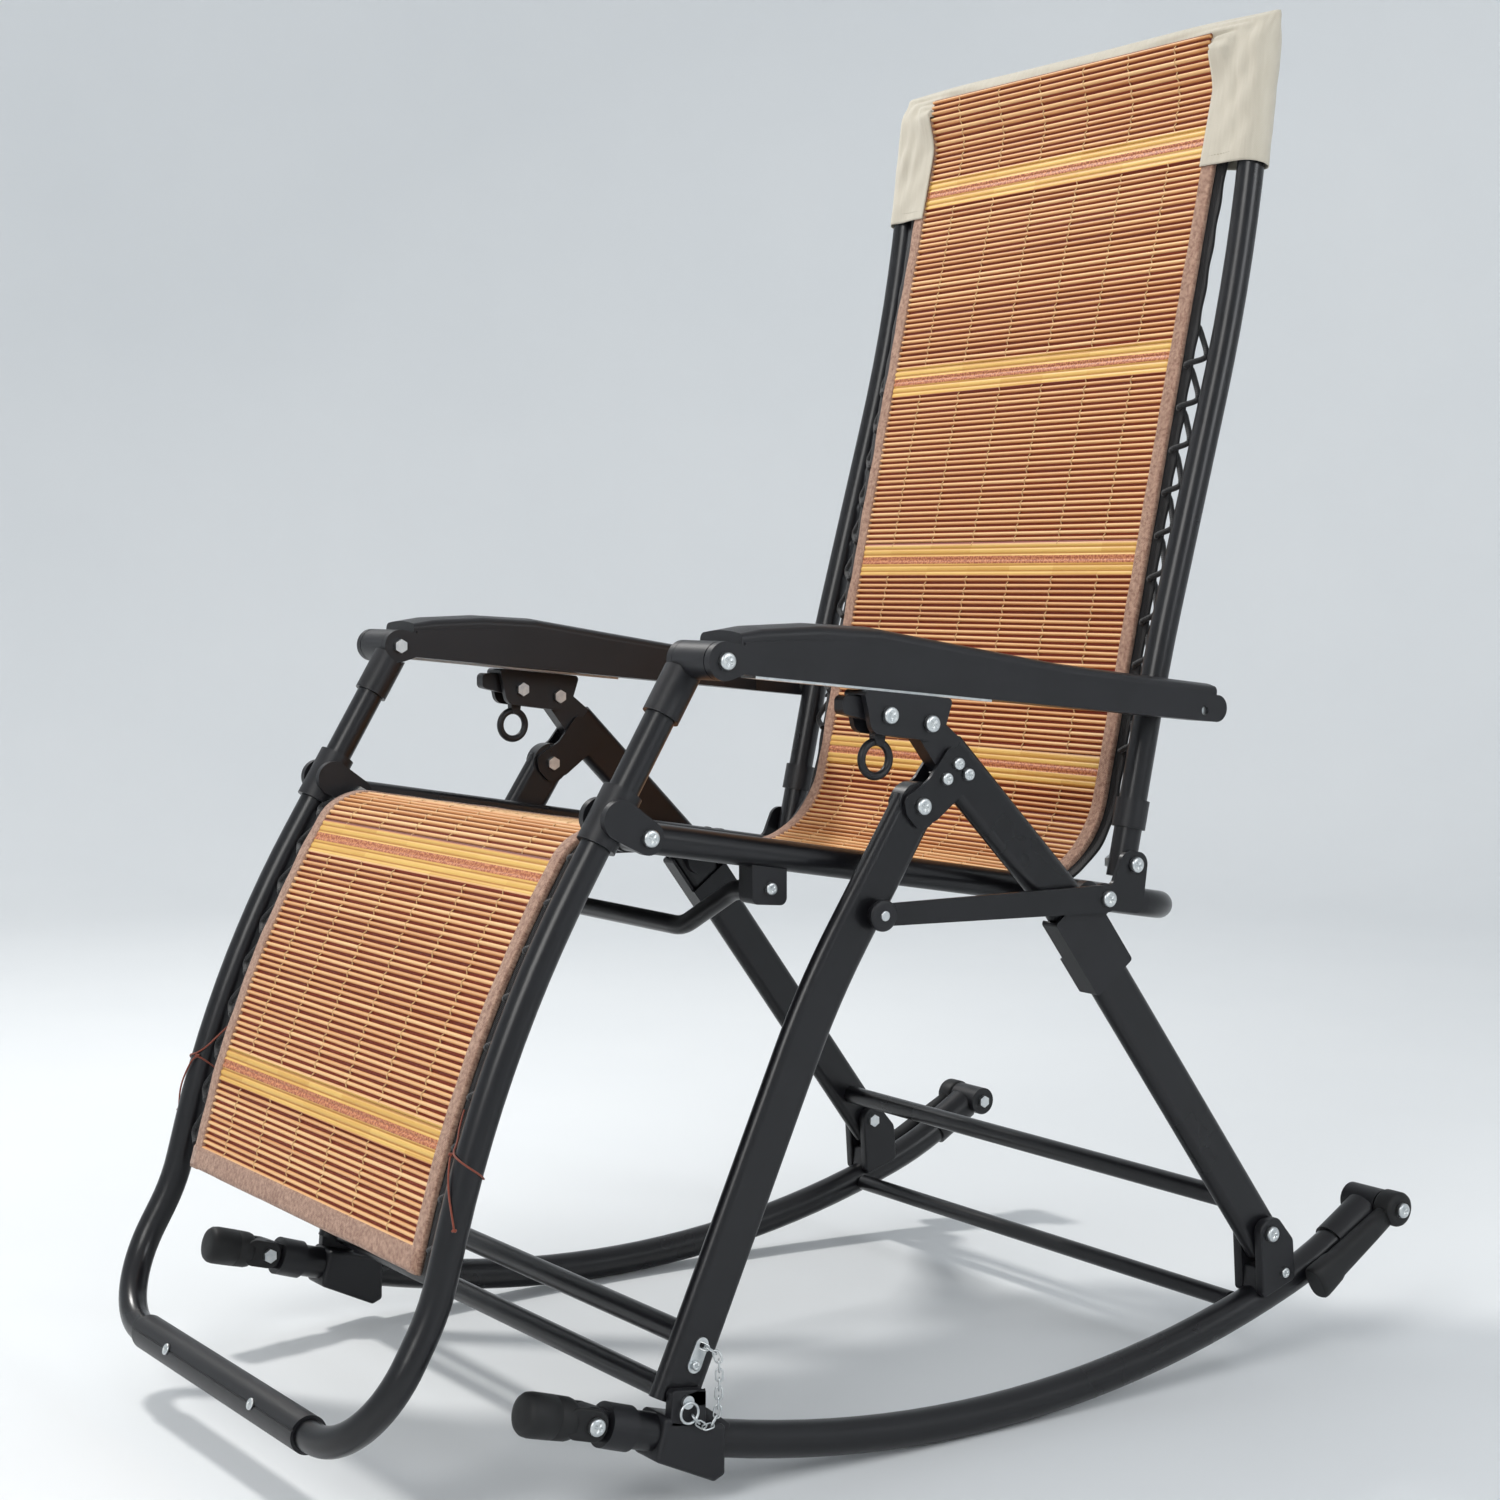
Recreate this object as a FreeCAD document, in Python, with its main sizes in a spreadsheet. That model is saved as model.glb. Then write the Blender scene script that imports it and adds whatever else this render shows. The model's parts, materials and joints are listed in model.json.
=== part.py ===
import FreeCAD
import Part
import Sketcher
import math
import os
from FreeCAD import Placement, Rotation, Vector

# Millimetres. X is the width (left side of the sitter is plus), minus Y is the front, Z is up.
# Sizes ending in "lean" or "turn" are degrees; "fit" values are radial clearances.
SIZES = {
    "frame_half": 300, "tube_radius": 12.5, "bar_radius": 8.2, "cross_radius": 9.5, "rocker_tube": 15,
    "leg_wide": 42, "leg_thick": 16, "plate_thick": 3, "side_gap": 0.3,
    "bolt_radius": 4, "run_fit": 0.05, "sleeve_fit": 0.1, "head_radius": 6.8, "head_high": 3.6,
    "rocker_mid": 37.8, "rocker_radius": 1150, "rocker_front": -370, "rocker_rear": 365,
    "tail_radius": 400, "tail_turn": 11.6, "tail_straight": 26, "base_wide": 37, "base_cross": 316,
    "front_knuckle": 388, "socket_long": 23, "stopper_long": 42, "stopper_radius": 14.5,
    "rear_barrel_out": 48, "rear_stopper_long": 92, "barrel_radius": 15,
    "rear_foot": 328, "rear_foot_rise": 64.5, "lower_leg": 402, "lower_lean": 36.7,
    "upper_leg": 220, "upper_lean": 44.8, "leg_head": 38, "knee_bend": 60, "rear_cross_up": 37,
    "hinge_drop": 44, "hinge_reach": 51.6, "front_foot": -310.2, "front_foot_rise": 9.75,
    "front_bend_down": 175, "front_bend_out": 17.6, "front_leg_bend": 700,
    "front_cross_low": 8, "front_cross_high": 52, "hanger_up": 33.5, "hanger_long": 16.4, "pin_up": 6, "pin_radius": 3,
    "seat_pivot_drop": 24, "seat_pivot_back": 30.7, "link_drop": 96.7,
    "sleeve_long": 82, "sleeve_open": 42, "link_thick": 4,
    "rail_gap": 44, "seat_lean": 9.53, "seat_front": 446, "seat_rear": 150, "seat_bend": 55,
    "bow_bar_at": 322, "bow_bar_drop": 72, "bow_bar_flat": 140,
    "back_pivot_along": 67.5, "back_pivot_up": 32.6, "back_lean": 12.4, "back_long": 772, "back_bend": 62,
    "back_bow": 20, "back_bow_start": 190, "back_bow_below": 225, "back_bow_bend": 1600,
    "collar_up": 32, "collar_long": 26, "collar_wall": 2.7,
    "crank_long": 146, "crank_lean": 19.8,
    "shin_long": 342.7, "shin_lean": 31.2, "foot_long": 199.8, "foot_lean": 15,
    "toe_long": 124.4, "toe_lean": 29.8, "foot_bend": 1000, "ankle_bend": 180, "toe_bend": 82,
    "shin_sleeve_long": 48, "arm_stem_long": 41, "arm_stem_down": 52,
    "arm_in": 53, "arm_out": 8, "arm_tail_gap": 15, "knuckle_radius": 15.5,
    "sling_gap": 22, "sling_thick": 2, "sling_lift": -4, "mat_gap": 36, "mat_thick": 5, "mat_fit": 0.3,
    "mat_top": 14, "mat_split": 96, "mat_part": 4, "mat_corner": 56, "mat_turn_radius": 95, "seat_mat_front": 12,
    "foot_mat_top": 6, "foot_mat_end": 20,
    "slat_pitch": 11.6, "slat_wide": 9.2, "slat_deep": 1.6,
    "lace_pitch": 40, "lace_wide": 5, "lace_back_from": 100, "lace_back_long": 360, "lace_seat_from": 40,
    "lace_seat_long": 320, "lace_foot_from": 40, "lace_foot_long": 80,
    "hood_deep": 140, "hood_rise": 16, "hood_over": 17, "hood_turn": 47, "hood_thick": 31,
    "hood_front_low": 5, "hood_back_low": 28,
    "grip_gap": 91, "grip_radius": 15.5, "grip_seam_lean": -66, "grip_seam": 0.9,
}

# Widths that follow from the frame's half width.
WIDTHS = {
    "rail_half": "=frame_half - rail_gap",
    "sling_half": "=rail_half - sling_gap",
    "mat_half": "=rail_half - mat_gap",
    "hood_half": "=rail_half + hood_over",
    "hood_inner": "=rail_half - hood_turn",
    "grip_half": "=rail_half - grip_gap",
    "arm_inner": "=frame_half - arm_in",
    "arm_outer": "=frame_half + arm_out",
    "arm_tail_inner": "=rail_half + arm_tail_gap",
}

doc = FreeCAD.newDocument("rocking_recliner")
sheet = doc.addObject("Spreadsheet::Sheet", "sizes")
for row, (name, content) in enumerate([*SIZES.items(), *WIDTHS.items()], 1):
    sheet.set(f"A{row}", name)
    sheet.set(f"B{row}", str(content))
    sheet.setAlias(f"B{row}", name)
doc.recompute()

nodes = []


def size(name):
    return float(sheet.get(name))


def put(thing, prop, value):
    """Set a property to a number, or bind it to an expression over the sheet."""
    if isinstance(value, str):
        thing.setExpression(prop, value)
    else:
        setattr(thing, prop, value)


def keep(label, thing):
    thing.Label = label
    nodes.append(thing)
    return thing


def lean(length, angle):
    """A step in the side view, `angle` degrees rearward of straight up."""
    turn = math.radians(angle)
    return Vector(0, length * math.sin(turn), length * math.cos(turn))


def side(y, z):
    return Vector(0, y, z)


def ahead(direction):
    """The side-view normal of a downward direction, on its front side."""
    return Vector(0, direction.z, -direction.y)


def at_x(point, x):
    return Vector(x, point.y, point.z)


# Named points of the side view.
tube_r = size("tube_radius")
leg_half = size("leg_wide") / 2
frame_x = size("frame_half")
rail_x = size("rail_half")
leg_in = frame_x - size("leg_thick") / 2
leg_out = frame_x + size("leg_thick") / 2
gap = size("side_gap")
pin_r = size("bolt_radius")


def rocker_at(offset):
    radius = size("rocker_radius")
    rise = radius - math.sqrt(radius ** 2 - offset ** 2)
    return side(size("rocker_mid") + offset, size("rocker_tube") + rise)


def rocker_slope(offset):
    return math.degrees(math.asin(offset / size("rocker_radius")))


rear_foot = rocker_at(size("rear_foot")) + side(0, size("rear_foot_rise"))
knee = rear_foot + lean(size("lower_leg"), -size("lower_lean"))
leg_top = knee + lean(size("upper_leg"), -size("upper_lean"))
upper_down = -lean(1, -size("upper_lean"))
lower_down = -lean(1, -size("lower_lean"))
hinge = leg_top + upper_down * size("hinge_drop") + ahead(upper_down) * size("hinge_reach")
front_foot = rocker_at(size("front_foot")) + side(0, size("rocker_tube") + size("front_foot_rise"))
front_down = (front_foot - hinge).normalize()
front_bend = hinge + front_down * size("front_bend_down") + ahead(front_down) * size("front_bend_out")
front_low = (front_foot - front_bend).normalize()
link_front = hinge + front_down * size("link_drop")
sleeve_eye = knee + lower_down * size("seat_pivot_drop") - ahead(lower_down) * size("seat_pivot_back")
seat_pivot = sleeve_eye
seat_lean = math.radians(size("seat_lean"))
seat_forward = side(-math.cos(seat_lean), math.sin(seat_lean))
seat_up = side(math.sin(seat_lean), math.cos(seat_lean))
foot_pivot = seat_pivot + seat_forward * size("seat_front")
seat_end = seat_pivot - seat_forward * size("seat_rear")
back_pivot = seat_pivot - seat_forward * size("back_pivot_along") + seat_up * size("back_pivot_up")
crank = lean(size("crank_long"), size("crank_lean"))
arm_front = foot_pivot + crank
arm_rear = back_pivot + crank
back_up = lean(1, size("back_lean"))
back_front = side(-back_up.z, back_up.y)
back_top = back_pivot + back_up * size("back_long")
shin_up = lean(1, size("shin_lean"))
shin_front = side(-shin_up.z, shin_up.y)
shin_end = arm_front - shin_up * size("shin_long")
foot_up = lean(1, size("foot_lean"))
ankle = shin_end - foot_up * size("foot_long")
toe = ankle - lean(size("toe_long"), size("toe_lean"))
front_knuckle = rocker_at(-size("front_knuckle"))
tail_start = rocker_at(size("rocker_rear"))
tail_slope = rocker_slope(size("rocker_rear")) + size("tail_turn")
lock_pin = front_foot - front_low * size("pin_up")


def heading(slope):
    turn = math.radians(slope)
    return side(math.cos(turn), math.sin(turn))


def tail_point(share):
    first = math.radians(rocker_slope(size("rocker_rear")))
    turn = first + math.radians(size("tail_turn")) * share
    radius = size("tail_radius")
    turned = side(math.sin(turn) - math.sin(first), math.cos(first) - math.cos(turn))
    return tail_start + turned * radius


tail_end = tail_point(1)
rear_barrel = tail_end + heading(tail_slope) * size("rear_barrel_out")


# Shape helpers.
def bent(points, radii):
    """Edges through the corner points, each inner corner rounded to its radius."""
    edges = []
    start = points[0]
    for before, corner, after, radius in zip(points, points[1:], points[2:], radii):
        back = (before - corner).normalize()
        on = (after - corner).normalize()
        half = back.getAngle(on) / 2
        reach = radius / math.tan(half)
        middle = (back + on).normalize()
        first = corner + back * reach
        last = corner + on * reach
        crown = corner + middle * (radius / math.sin(half) - radius)
        if first.distanceToPoint(start) > 1e-6:
            edges.append(Part.LineSegment(start, first))
        edges.append(Part.Arc(first, crown, last))
        start = last
    edges.append(Part.LineSegment(start, points[-1]))
    return edges


def wire(edges):
    return Part.Wire([edge.toShape() for edge in edges])


def sweep(name, edges, section):
    spine = doc.addObject("Part::Feature", name + "_path")
    spine.Shape = wire(edges)
    body = doc.addObject("Part::Sweep", name)
    body.Sections = [section]
    body.Spine = (spine, [f"Edge{i + 1}" for i in range(len(edges))])
    body.Solid = True
    body.Frenet = False
    return body


def tube(name, edges, radius):
    """A round bar along the edges; `radius` is an expression over the sheet."""
    first = edges[0]
    ring = doc.addObject("Part::Circle", name + "_ring")
    tangent = first.tangent(first.FirstParameter)[0]
    ring.Placement = Placement(first.value(first.FirstParameter), Rotation(Vector(0, 0, 1), tangent))
    put(ring, "Radius", radius)
    return sweep(name, edges, ring)


def oval_bar(name, edges):
    """A flat-oval leg tube whose wide side lies in the side view."""
    first = edges[0]
    tangent = first.tangent(first.FirstParameter)[0]
    across = Vector(1, 0, 0)
    wide = tangent.cross(across)
    half_thick = size("leg_thick") / 2
    flat = leg_half - half_thick
    middle = first.value(first.FirstParameter)

    def corner(u, v):
        return middle + wide * u + across * v

    outline = [
        Part.LineSegment(corner(-flat, half_thick), corner(flat, half_thick)),
        Part.Arc(corner(flat, half_thick), corner(leg_half, 0), corner(flat, -half_thick)),
        Part.LineSegment(corner(flat, -half_thick), corner(-flat, -half_thick)),
        Part.Arc(corner(-flat, -half_thick), corner(-leg_half, 0), corner(-flat, half_thick)),
    ]
    section = doc.addObject("Part::Feature", name + "_section")
    section.Shape = wire(outline)
    return sweep(name, edges, section)


def closed(corners):
    """Edges of a closed outline; each corner is a point and its rounding radius."""
    points = [point for point, radius in corners]
    radii = [radius for point, radius in corners]
    count = len(points)
    edges = []
    stops = []
    for i in range(count):
        if radii[i] == 0:
            stops.append((points[i], None, points[i]))
            continue
        back = (points[i - 1] - points[i]).normalize()
        on = (points[(i + 1) % count] - points[i]).normalize()
        half = back.getAngle(on) / 2
        reach = radii[i] / math.tan(half)
        crown = points[i] + (back + on).normalize() * (radii[i] / math.sin(half) - radii[i])
        stops.append((points[i] + back * reach, crown, points[i] + on * reach))
    for i in range(count):
        first, crown, last = stops[i]
        if crown is not None:
            edges.append(Part.Arc(first, crown, last))
        following = stops[(i + 1) % count][0]
        if last.distanceToPoint(following) > 1e-6:
            edges.append(Part.LineSegment(last, following))
    return edges


def stadium(one, one_radius, two, two_radius):
    """A strap around two round ends: tangent lines and two arcs."""
    axis = two - one
    length = axis.Length
    axis = axis * (1 / length)
    across = side(-axis.z, axis.y)
    tilt = (one_radius - two_radius) / length
    flat = math.sqrt(1 - tilt ** 2)
    up = across * flat + axis * tilt
    down = across * -flat + axis * tilt
    return [
        Part.LineSegment(one + up * one_radius, two + up * two_radius),
        Part.Arc(two + up * two_radius, two + axis * two_radius, two + down * two_radius),
        Part.LineSegment(two + down * two_radius, one + down * one_radius),
        Part.Arc(one + down * one_radius, one - axis * one_radius, one + up * one_radius),
    ]


def flat_edge(edge):
    """A side-view edge laid into the sketch plane, Y to the right and Z up."""
    turn = FreeCAD.Matrix(0, 1, 0, 0, 0, 0, 1, 0, 1, 0, 0, 0, 0, 0, 0, 1)
    laid = edge.copy()
    laid.transform(turn)
    return laid


def plate(name, edges, start, thick, holes=()):
    """A padded side-view outline from X = start; holes are (point, radius expression)."""
    body = doc.addObject("PartDesign::Body", name)
    sketch = body.newObject("Sketcher::SketchObject", name + "_outline")
    plane = next(f for f in body.Origin.OriginFeatures if f.Role == "YZ_Plane")
    sketch.AttachmentSupport = (plane, [""])
    sketch.MapMode = "FlatFace"
    sketch.AttachmentOffset = Placement(Vector(0, 0, 0), Rotation())
    if isinstance(start, str):
        sketch.setExpression("AttachmentOffset.Base.z", start)
    else:
        sketch.AttachmentOffset = Placement(Vector(0, 0, start), Rotation())
    sketch.addGeometry([flat_edge(edge) for edge in edges], False)
    for point, radius in holes:
        index = sketch.addGeometry(Part.Circle(Vector(point.y, point.z, 0), Vector(0, 0, 1), pin_r), False)
        bound = sketch.addConstraint(Sketcher.Constraint("Radius", index, pin_r))
        sketch.setExpression(f"Constraints[{bound}]", radius)
    pad = body.newObject("PartDesign::Pad", name + "_pad")
    pad.Profile = sketch
    put(pad, "Length", thick)
    return body


def rod(name, point, start, length, radius):
    """A round bar along X."""
    bar = doc.addObject("Part::Cylinder", name)
    put(bar, "Radius", radius)
    put(bar, "Height", length)
    bar.Placement = Placement(at_x(point, start), Rotation(Vector(0, 1, 0), 90))
    return bar


def post(name, point, direction, length, radius):
    """A round bar from a point along any direction."""
    bar = doc.addObject("Part::Cylinder", name)
    put(bar, "Radius", radius)
    put(bar, "Height", length)
    bar.Placement = Placement(point, Rotation(Vector(0, 0, 1), direction))
    return bar


def cut(name, base, *tools):
    for step, tool in enumerate(tools):
        last = step == len(tools) - 1
        result = doc.addObject("Part::Cut", name if last else f"{name}_cut{step}")
        result.Base = base
        result.Tool = tool
        result.Refine = True
        base = result
    return base


def fuse(name, *parts):
    result = doc.addObject("Part::MultiFuse", name)
    result.Shapes = list(parts)
    result.Refine = True
    return result


def common(name, base, tool):
    result = doc.addObject("Part::Common", name)
    result.Base = base
    result.Tool = tool
    result.Refine = True
    return result


def extruded(name, edges, direction, length):
    """A flat outline pushed along a direction."""
    face = doc.addObject("Part::Feature", name + "_outline")
    face.Shape = Part.Face(wire(edges))
    solid = doc.addObject("Part::Extrusion", name)
    solid.Base = face
    solid.DirMode = "Custom"
    solid.Dir = direction
    put(solid, "LengthFwd", length)
    solid.Solid = True
    return solid


def mirrored(thing):
    copy = doc.addObject("Part::Mirroring", thing.Name + "_other")
    copy.Source = thing
    copy.Base = Vector(0, 0, 0)
    copy.Normal = Vector(1, 0, 0)
    return copy


def group(label, *parts):
    bunch = doc.addObject("Part::Compound", label + "_group")
    bunch.Links = list(parts)
    return keep(label, bunch)


def pair(label, *parts):
    """One node that holds the left pieces and their mirror images."""
    return group(label, *parts, *[mirrored(part) for part in parts])


def both(label, thing):
    """A left node and its mirror image as a right node."""
    keep(label + "_left", thing)
    keep(label + "_right", mirrored(thing))
    return thing


def bolt(name, point, tip, head, nut=True):
    """A hexagon bolt along X: shank from `tip` to `head`, head outside, nut inside."""
    shank = rod(name + "_shank", point, tip, head - tip, "sizes.bolt_radius")
    parts = [shank]
    for end, offset in (("head", 0), ("nut", tip - head - size("head_high"))):
        if end == "nut" and not nut:
            continue
        cap = doc.addObject("Part::Prism", f"{name}_{end}")
        cap.Polygon = 6
        put(cap, "Circumradius", "sizes.head_radius")
        put(cap, "Height", "sizes.head_high")
        cap.Placement = Placement(at_x(point, head + offset), Rotation(Vector(0, 1, 0), 90))
        parts.append(cap)
    return fuse(name, *parts)


def hole(name, point, start, length):
    return rod(name, point, start, length, "sizes.bolt_radius + sizes.run_fit")


def side_hole(name, point):
    """A bolt hole through all that stands outside the rail on one side."""
    return hole(name, point, rail_x, 2 * size("rail_gap"))


def rail_hole(name, point):
    """A bolt hole through all that stands around the rail on one side."""
    return hole(name, point, rail_x - 2 * size("rail_gap"), 4 * size("rail_gap"))


def shifted(edges, x):
    moved = []
    for edge in edges:
        copy = edge.copy()
        copy.translate(Vector(x, 0, 0))
        moved.append(copy)
    return moved


running = "sizes.bolt_radius + sizes.run_fit"
snug = "sizes.tube_radius + sizes.sleeve_fit"

# Rocker base.
rocker_edges = shifted([
    Part.Arc(rocker_at(size("rocker_front")), rocker_at(0), tail_start),
    Part.Arc(tail_start, tail_point(0.5), tail_end),
    Part.LineSegment(tail_end, tail_end + heading(tail_slope) * size("tail_straight")),
], frame_x)
both("rocker", tube("rocker", rocker_edges, "sizes.rocker_tube"))
rocker_room = tube("rocker_room", rocker_edges, "sizes.rocker_tube + sizes.sleeve_fit")

base_half = size("base_wide") / 2
base_in = frame_x - base_half
cross_in = base_in - 0.1
keep("rocker_cross_tube", rod("base_cross", rocker_at(size("base_cross")), -cross_in, 2 * cross_in, "sizes.bar_radius"))

# Saddle: a block on the rocker with a floor, an outer cheek and a pin slot open to the rear.
end_back = ahead(front_low) * -leg_half
floor_front = front_foot - end_back + front_low * 0.5
floor_rear = front_foot + end_back + front_low * 0.5
under = rocker_at(size("front_foot"))
saddle_low = [
    (under + side(-34, -20), 3), (under + side(26, -38), 3), (under + side(38, -24), 3),
    (under + side(38, 10), 3), (floor_rear + side(4, -2), 1), (floor_front + side(-6, 5), 2),
    (floor_front + side(-12, -4), 3),
]
saddle_block = plate("saddle_block", closed(saddle_low), base_in, "sizes.base_wide")
cheek = [
    (floor_rear + side(3, -4), 1), (floor_rear + side(5, 17), 5), (front_foot + side(-6, 19), 5),
    (floor_front + side(-4, 14), 4), (floor_front + side(-6, -6), 2),
]
saddle_cheek = plate("saddle_cheek", closed(cheek), "sizes.frame_half", "sizes.base_wide / 2")
leg_slot = [
    (floor_front + side(-1.5, 0.7), 0), (floor_rear + side(30, -16), 0), (floor_rear + side(30, 60), 0),
    (floor_front - front_low * 60 + side(-1.5, 0), 0),
]
saddle_slot = plate("saddle_slot", closed(leg_slot), leg_in - gap, size("leg_thick") + 2 * gap)
pin_room = size("pin_radius") + 0.2
pin_slot = stadium(lock_pin, pin_room, lock_pin + side(40, 3), pin_room + 1)
saddle_pin_slot = plate("saddle_pin_slot", pin_slot, frame_x, "sizes.base_wide")
cross_low = front_foot - front_low * size("front_cross_low")
cross_slot = stadium(cross_low, size("cross_radius") + 0.6, cross_low + side(60, 6), size("cross_radius") + 2)
saddle_cross_slot = plate("saddle_cross_slot", cross_slot, base_in - 1, leg_in - base_in + 1)
saddle = cut("saddle", fuse("saddle_solid", saddle_block, saddle_cheek), saddle_slot, saddle_pin_slot,
             saddle_cross_slot, rocker_room)
pair("front_saddles", saddle)

# Rear leg bracket: two cheeks around the leg's end and the rocker.
stand = rocker_at(size("rear_foot"))
bracket_edge = [
    (rear_foot + side(-21, 8), 6), (rear_foot + side(-10, 16), 6), (rear_foot + side(36, -16), 8),
    (rear_foot + side(42, -40), 6), (stand + side(36, 1), 8), (stand + side(-18, -15), 6), (stand + side(-21, 14), 6),
]
bracket_solid = plate("leg_bracket_solid", closed(bracket_edge), base_in, "sizes.base_wide")
leg_over = 15
slot_floor = -math.hypot(leg_over, leg_half) - 1
bracket_slot = [
    (rear_foot + side(-60, slot_floor), 0), (rear_foot + side(60, slot_floor), 0),
    (rear_foot + side(60, 60), 0), (rear_foot + side(-60, 60), 0),
]
bracket_room = plate("leg_bracket_room", closed(bracket_slot), leg_in - gap, size("leg_thick") + 2 * gap)
leg_bracket = cut("leg_bracket", bracket_solid, bracket_room, rocker_room, side_hole("leg_bracket_hole", rear_foot))
pair("rear_leg_brackets", leg_bracket)

# Sockets on the rocker ends.
eye_half = 7.7
socket_start = -size("front_knuckle") + size("stopper_radius")
socket_stops = [socket_start + size("socket_long") * share for share in (0, 0.5, 1)]
sleeve_edges = shifted([Part.Arc(*[rocker_at(stop) for stop in socket_stops])], frame_x)
front_sleeve = cut("front_sleeve", tube("front_sleeve_bar", sleeve_edges, "sizes.rocker_tube + 2.8"), rocker_room)
front_web = stadium(front_knuckle, 13, rocker_at(socket_start + 3), 11)
front_eye = cut("front_eye", plate("front_eye_web", front_web, frame_x - eye_half, 2 * eye_half), rocker_room)
front_socket = cut("front_socket", fuse("front_socket_solid", front_sleeve, front_eye),
                   side_hole("front_socket_hole", front_knuckle))
pair("front_sockets", front_socket)

tail_way = heading(tail_slope)
rear_sleeve = post("rear_sleeve", at_x(tail_end - tail_way * 13, frame_x), tail_way, size("rear_barrel_out") + 2,
                   "sizes.rocker_tube + 2.6")
core_start = frame_x - 24
core_end = frame_x + 16
rear_core = rod("rear_core", rear_barrel, core_start, core_end - core_start, "sizes.barrel_radius")
hub_wide = 21.4
hub_room = rod("rear_hub_room", rear_barrel, core_end, hub_wide, "sizes.barrel_radius + 0.6")
rear_socket = cut("rear_socket", fuse("rear_socket_solid", rear_sleeve, rear_core), rocker_room, hub_room,
                  side_hole("rear_socket_hole", rear_barrel))
pair("rear_sockets", rear_socket)

# Stopper feet.
front_way = -heading(-rocker_slope(size("front_knuckle")) - 1)
foot_root = front_knuckle + front_way * size("stopper_radius")
front_rubber = post("front_rubber", at_x(foot_root, frame_x), front_way, "sizes.stopper_long", "sizes.stopper_radius")
ear_strap = stadium(front_knuckle, 12.5, foot_root + front_way * 12, 9)
ears = [plate(f"front_ear{i}", ear_strap, x, 7) for i, x in enumerate((frame_x - 15, frame_x + 8))]
front_stop = cut("front_stop", fuse("front_stop_solid", front_rubber, *ears),
                 side_hole("front_stop_hole", front_knuckle))
both("front_stopper", front_stop)

hub_start = core_end + 0.6
hub_mid = hub_start + hub_wide / 2
rear_way = -tail_way
rear_hub = rod("rear_hub", rear_barrel, hub_start, hub_wide, "sizes.barrel_radius")


def oval_ring(point, direction, wide, high):
    """A rounded rectangle across a direction, wide along X."""
    up = direction.cross(Vector(1, 0, 0)).normalize()
    radius = min(wide, high) * 0.42
    corners = [(1, 1), (-1, 1), (-1, -1), (1, -1)]
    points = [point + Vector(1, 0, 0) * (wide / 2 * a) + up * (high / 2 * b) for a, b in corners]
    return wire(closed([(p, radius) for p in points]))


def loft(name, rings, ruled=False):
    sections = []
    for i, ring in enumerate(rings):
        section = doc.addObject("Part::Feature", f"{name}_ring{i}")
        section.Shape = ring
        sections.append(section)
    solid = doc.addObject("Part::Loft", name)
    solid.Sections = sections
    solid.Solid = True
    solid.Ruled = ruled
    return solid


leg_rings = [(0, 17, 17), (0.75, 18.5, 25), (0.8, 20, 30), (1, 20.6, 34)]
rear_leg_part = loft("rear_stop_leg", [
    oval_ring(at_x(rear_barrel + rear_way * (8 + size("rear_stopper_long") * share), hub_mid), rear_way, wide, high)
    for share, wide, high in leg_rings], ruled=True)
rear_stop = cut("rear_stop", fuse("rear_stop_solid", rear_hub, rear_leg_part),
                hole("rear_stop_hole", rear_barrel, frame_x, 2 * size("rail_gap")))
both("rear_stopper", rear_stop)

base_bolts = [
    bolt("front_stop_bolt", front_knuckle, frame_x - 15.3, frame_x + 15.3),
    bolt("rear_stop_bolt", rear_barrel, core_start - 0.2, hub_start + hub_wide + 0.2),
    bolt("rear_leg_bolt", rear_foot, base_in - 0.1, frame_x + base_half + 0.1),
]
bracket_rivet = rod("bracket_rivet", stand + side(18, 26), frame_x + base_half + 0.05, 2.2, 4.2)
pair("base_bolts", *base_bolts, bracket_rivet)

# Rear legs.
leg_start = leg_top + upper_down * size("leg_head")
leg_end = rear_foot + lower_down * leg_over
rear_edges = shifted(bent([leg_start, knee, leg_end], [size("knee_bend")]), frame_x)
rear_leg = cut("rear_leg", oval_bar("rear_leg_bar", rear_edges), side_hole("rear_leg_hole", rear_foot))
both("rear_leg", rear_leg)
head_end = leg_start - upper_down * 0.1
head_side = ahead(upper_down)
head_foot = leg_half - 4
head_outline = [
    (leg_top - upper_down * 12.5 + head_side * 11, 9), (leg_top - upper_down * 12.5 - head_side * 11, 9),
    (head_end - head_side * head_foot, 0), (head_end + head_side * head_foot, 0),
]
leg_head = plate("leg_head", closed(head_outline), leg_in + 0.2, size("leg_thick") - 0.4, [(leg_top, running)])
pair("leg_heads", leg_head)
rear_cross_at = rear_foot - lower_down * size("rear_cross_up")
keep("rear_cross_tube", rod("rear_cross", rear_cross_at, -leg_in, 2 * leg_in, "sizes.cross_radius"))

hinge_edge = [
    (leg_start - upper_down * 8 + head_side * -4, 6), (leg_start - upper_down * 4 + head_side * 31, 14),
    (hinge + head_side * 8 - upper_down * 18, 8), (hinge + side(-16, -6), 10), (hinge + side(-4, -19), 8),
    (hinge + side(16, -12), 8), (leg_start + upper_down * 30 + head_side * 20, 10),
    (leg_start + upper_down * 34 - head_side * 10, 8),
]
plate_face = leg_out + gap + size("plate_thick")
plate_back = leg_in - gap - size("plate_thick")
hinge_outer = plate("hinge_outer", closed(hinge_edge), leg_out + gap, "sizes.plate_thick", [(hinge, running)])
hinge_inner = plate("hinge_inner", closed(hinge_edge), plate_back, "sizes.plate_thick", [(hinge, running)])
pair("hinge_plates", hinge_outer, hinge_inner)

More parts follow.
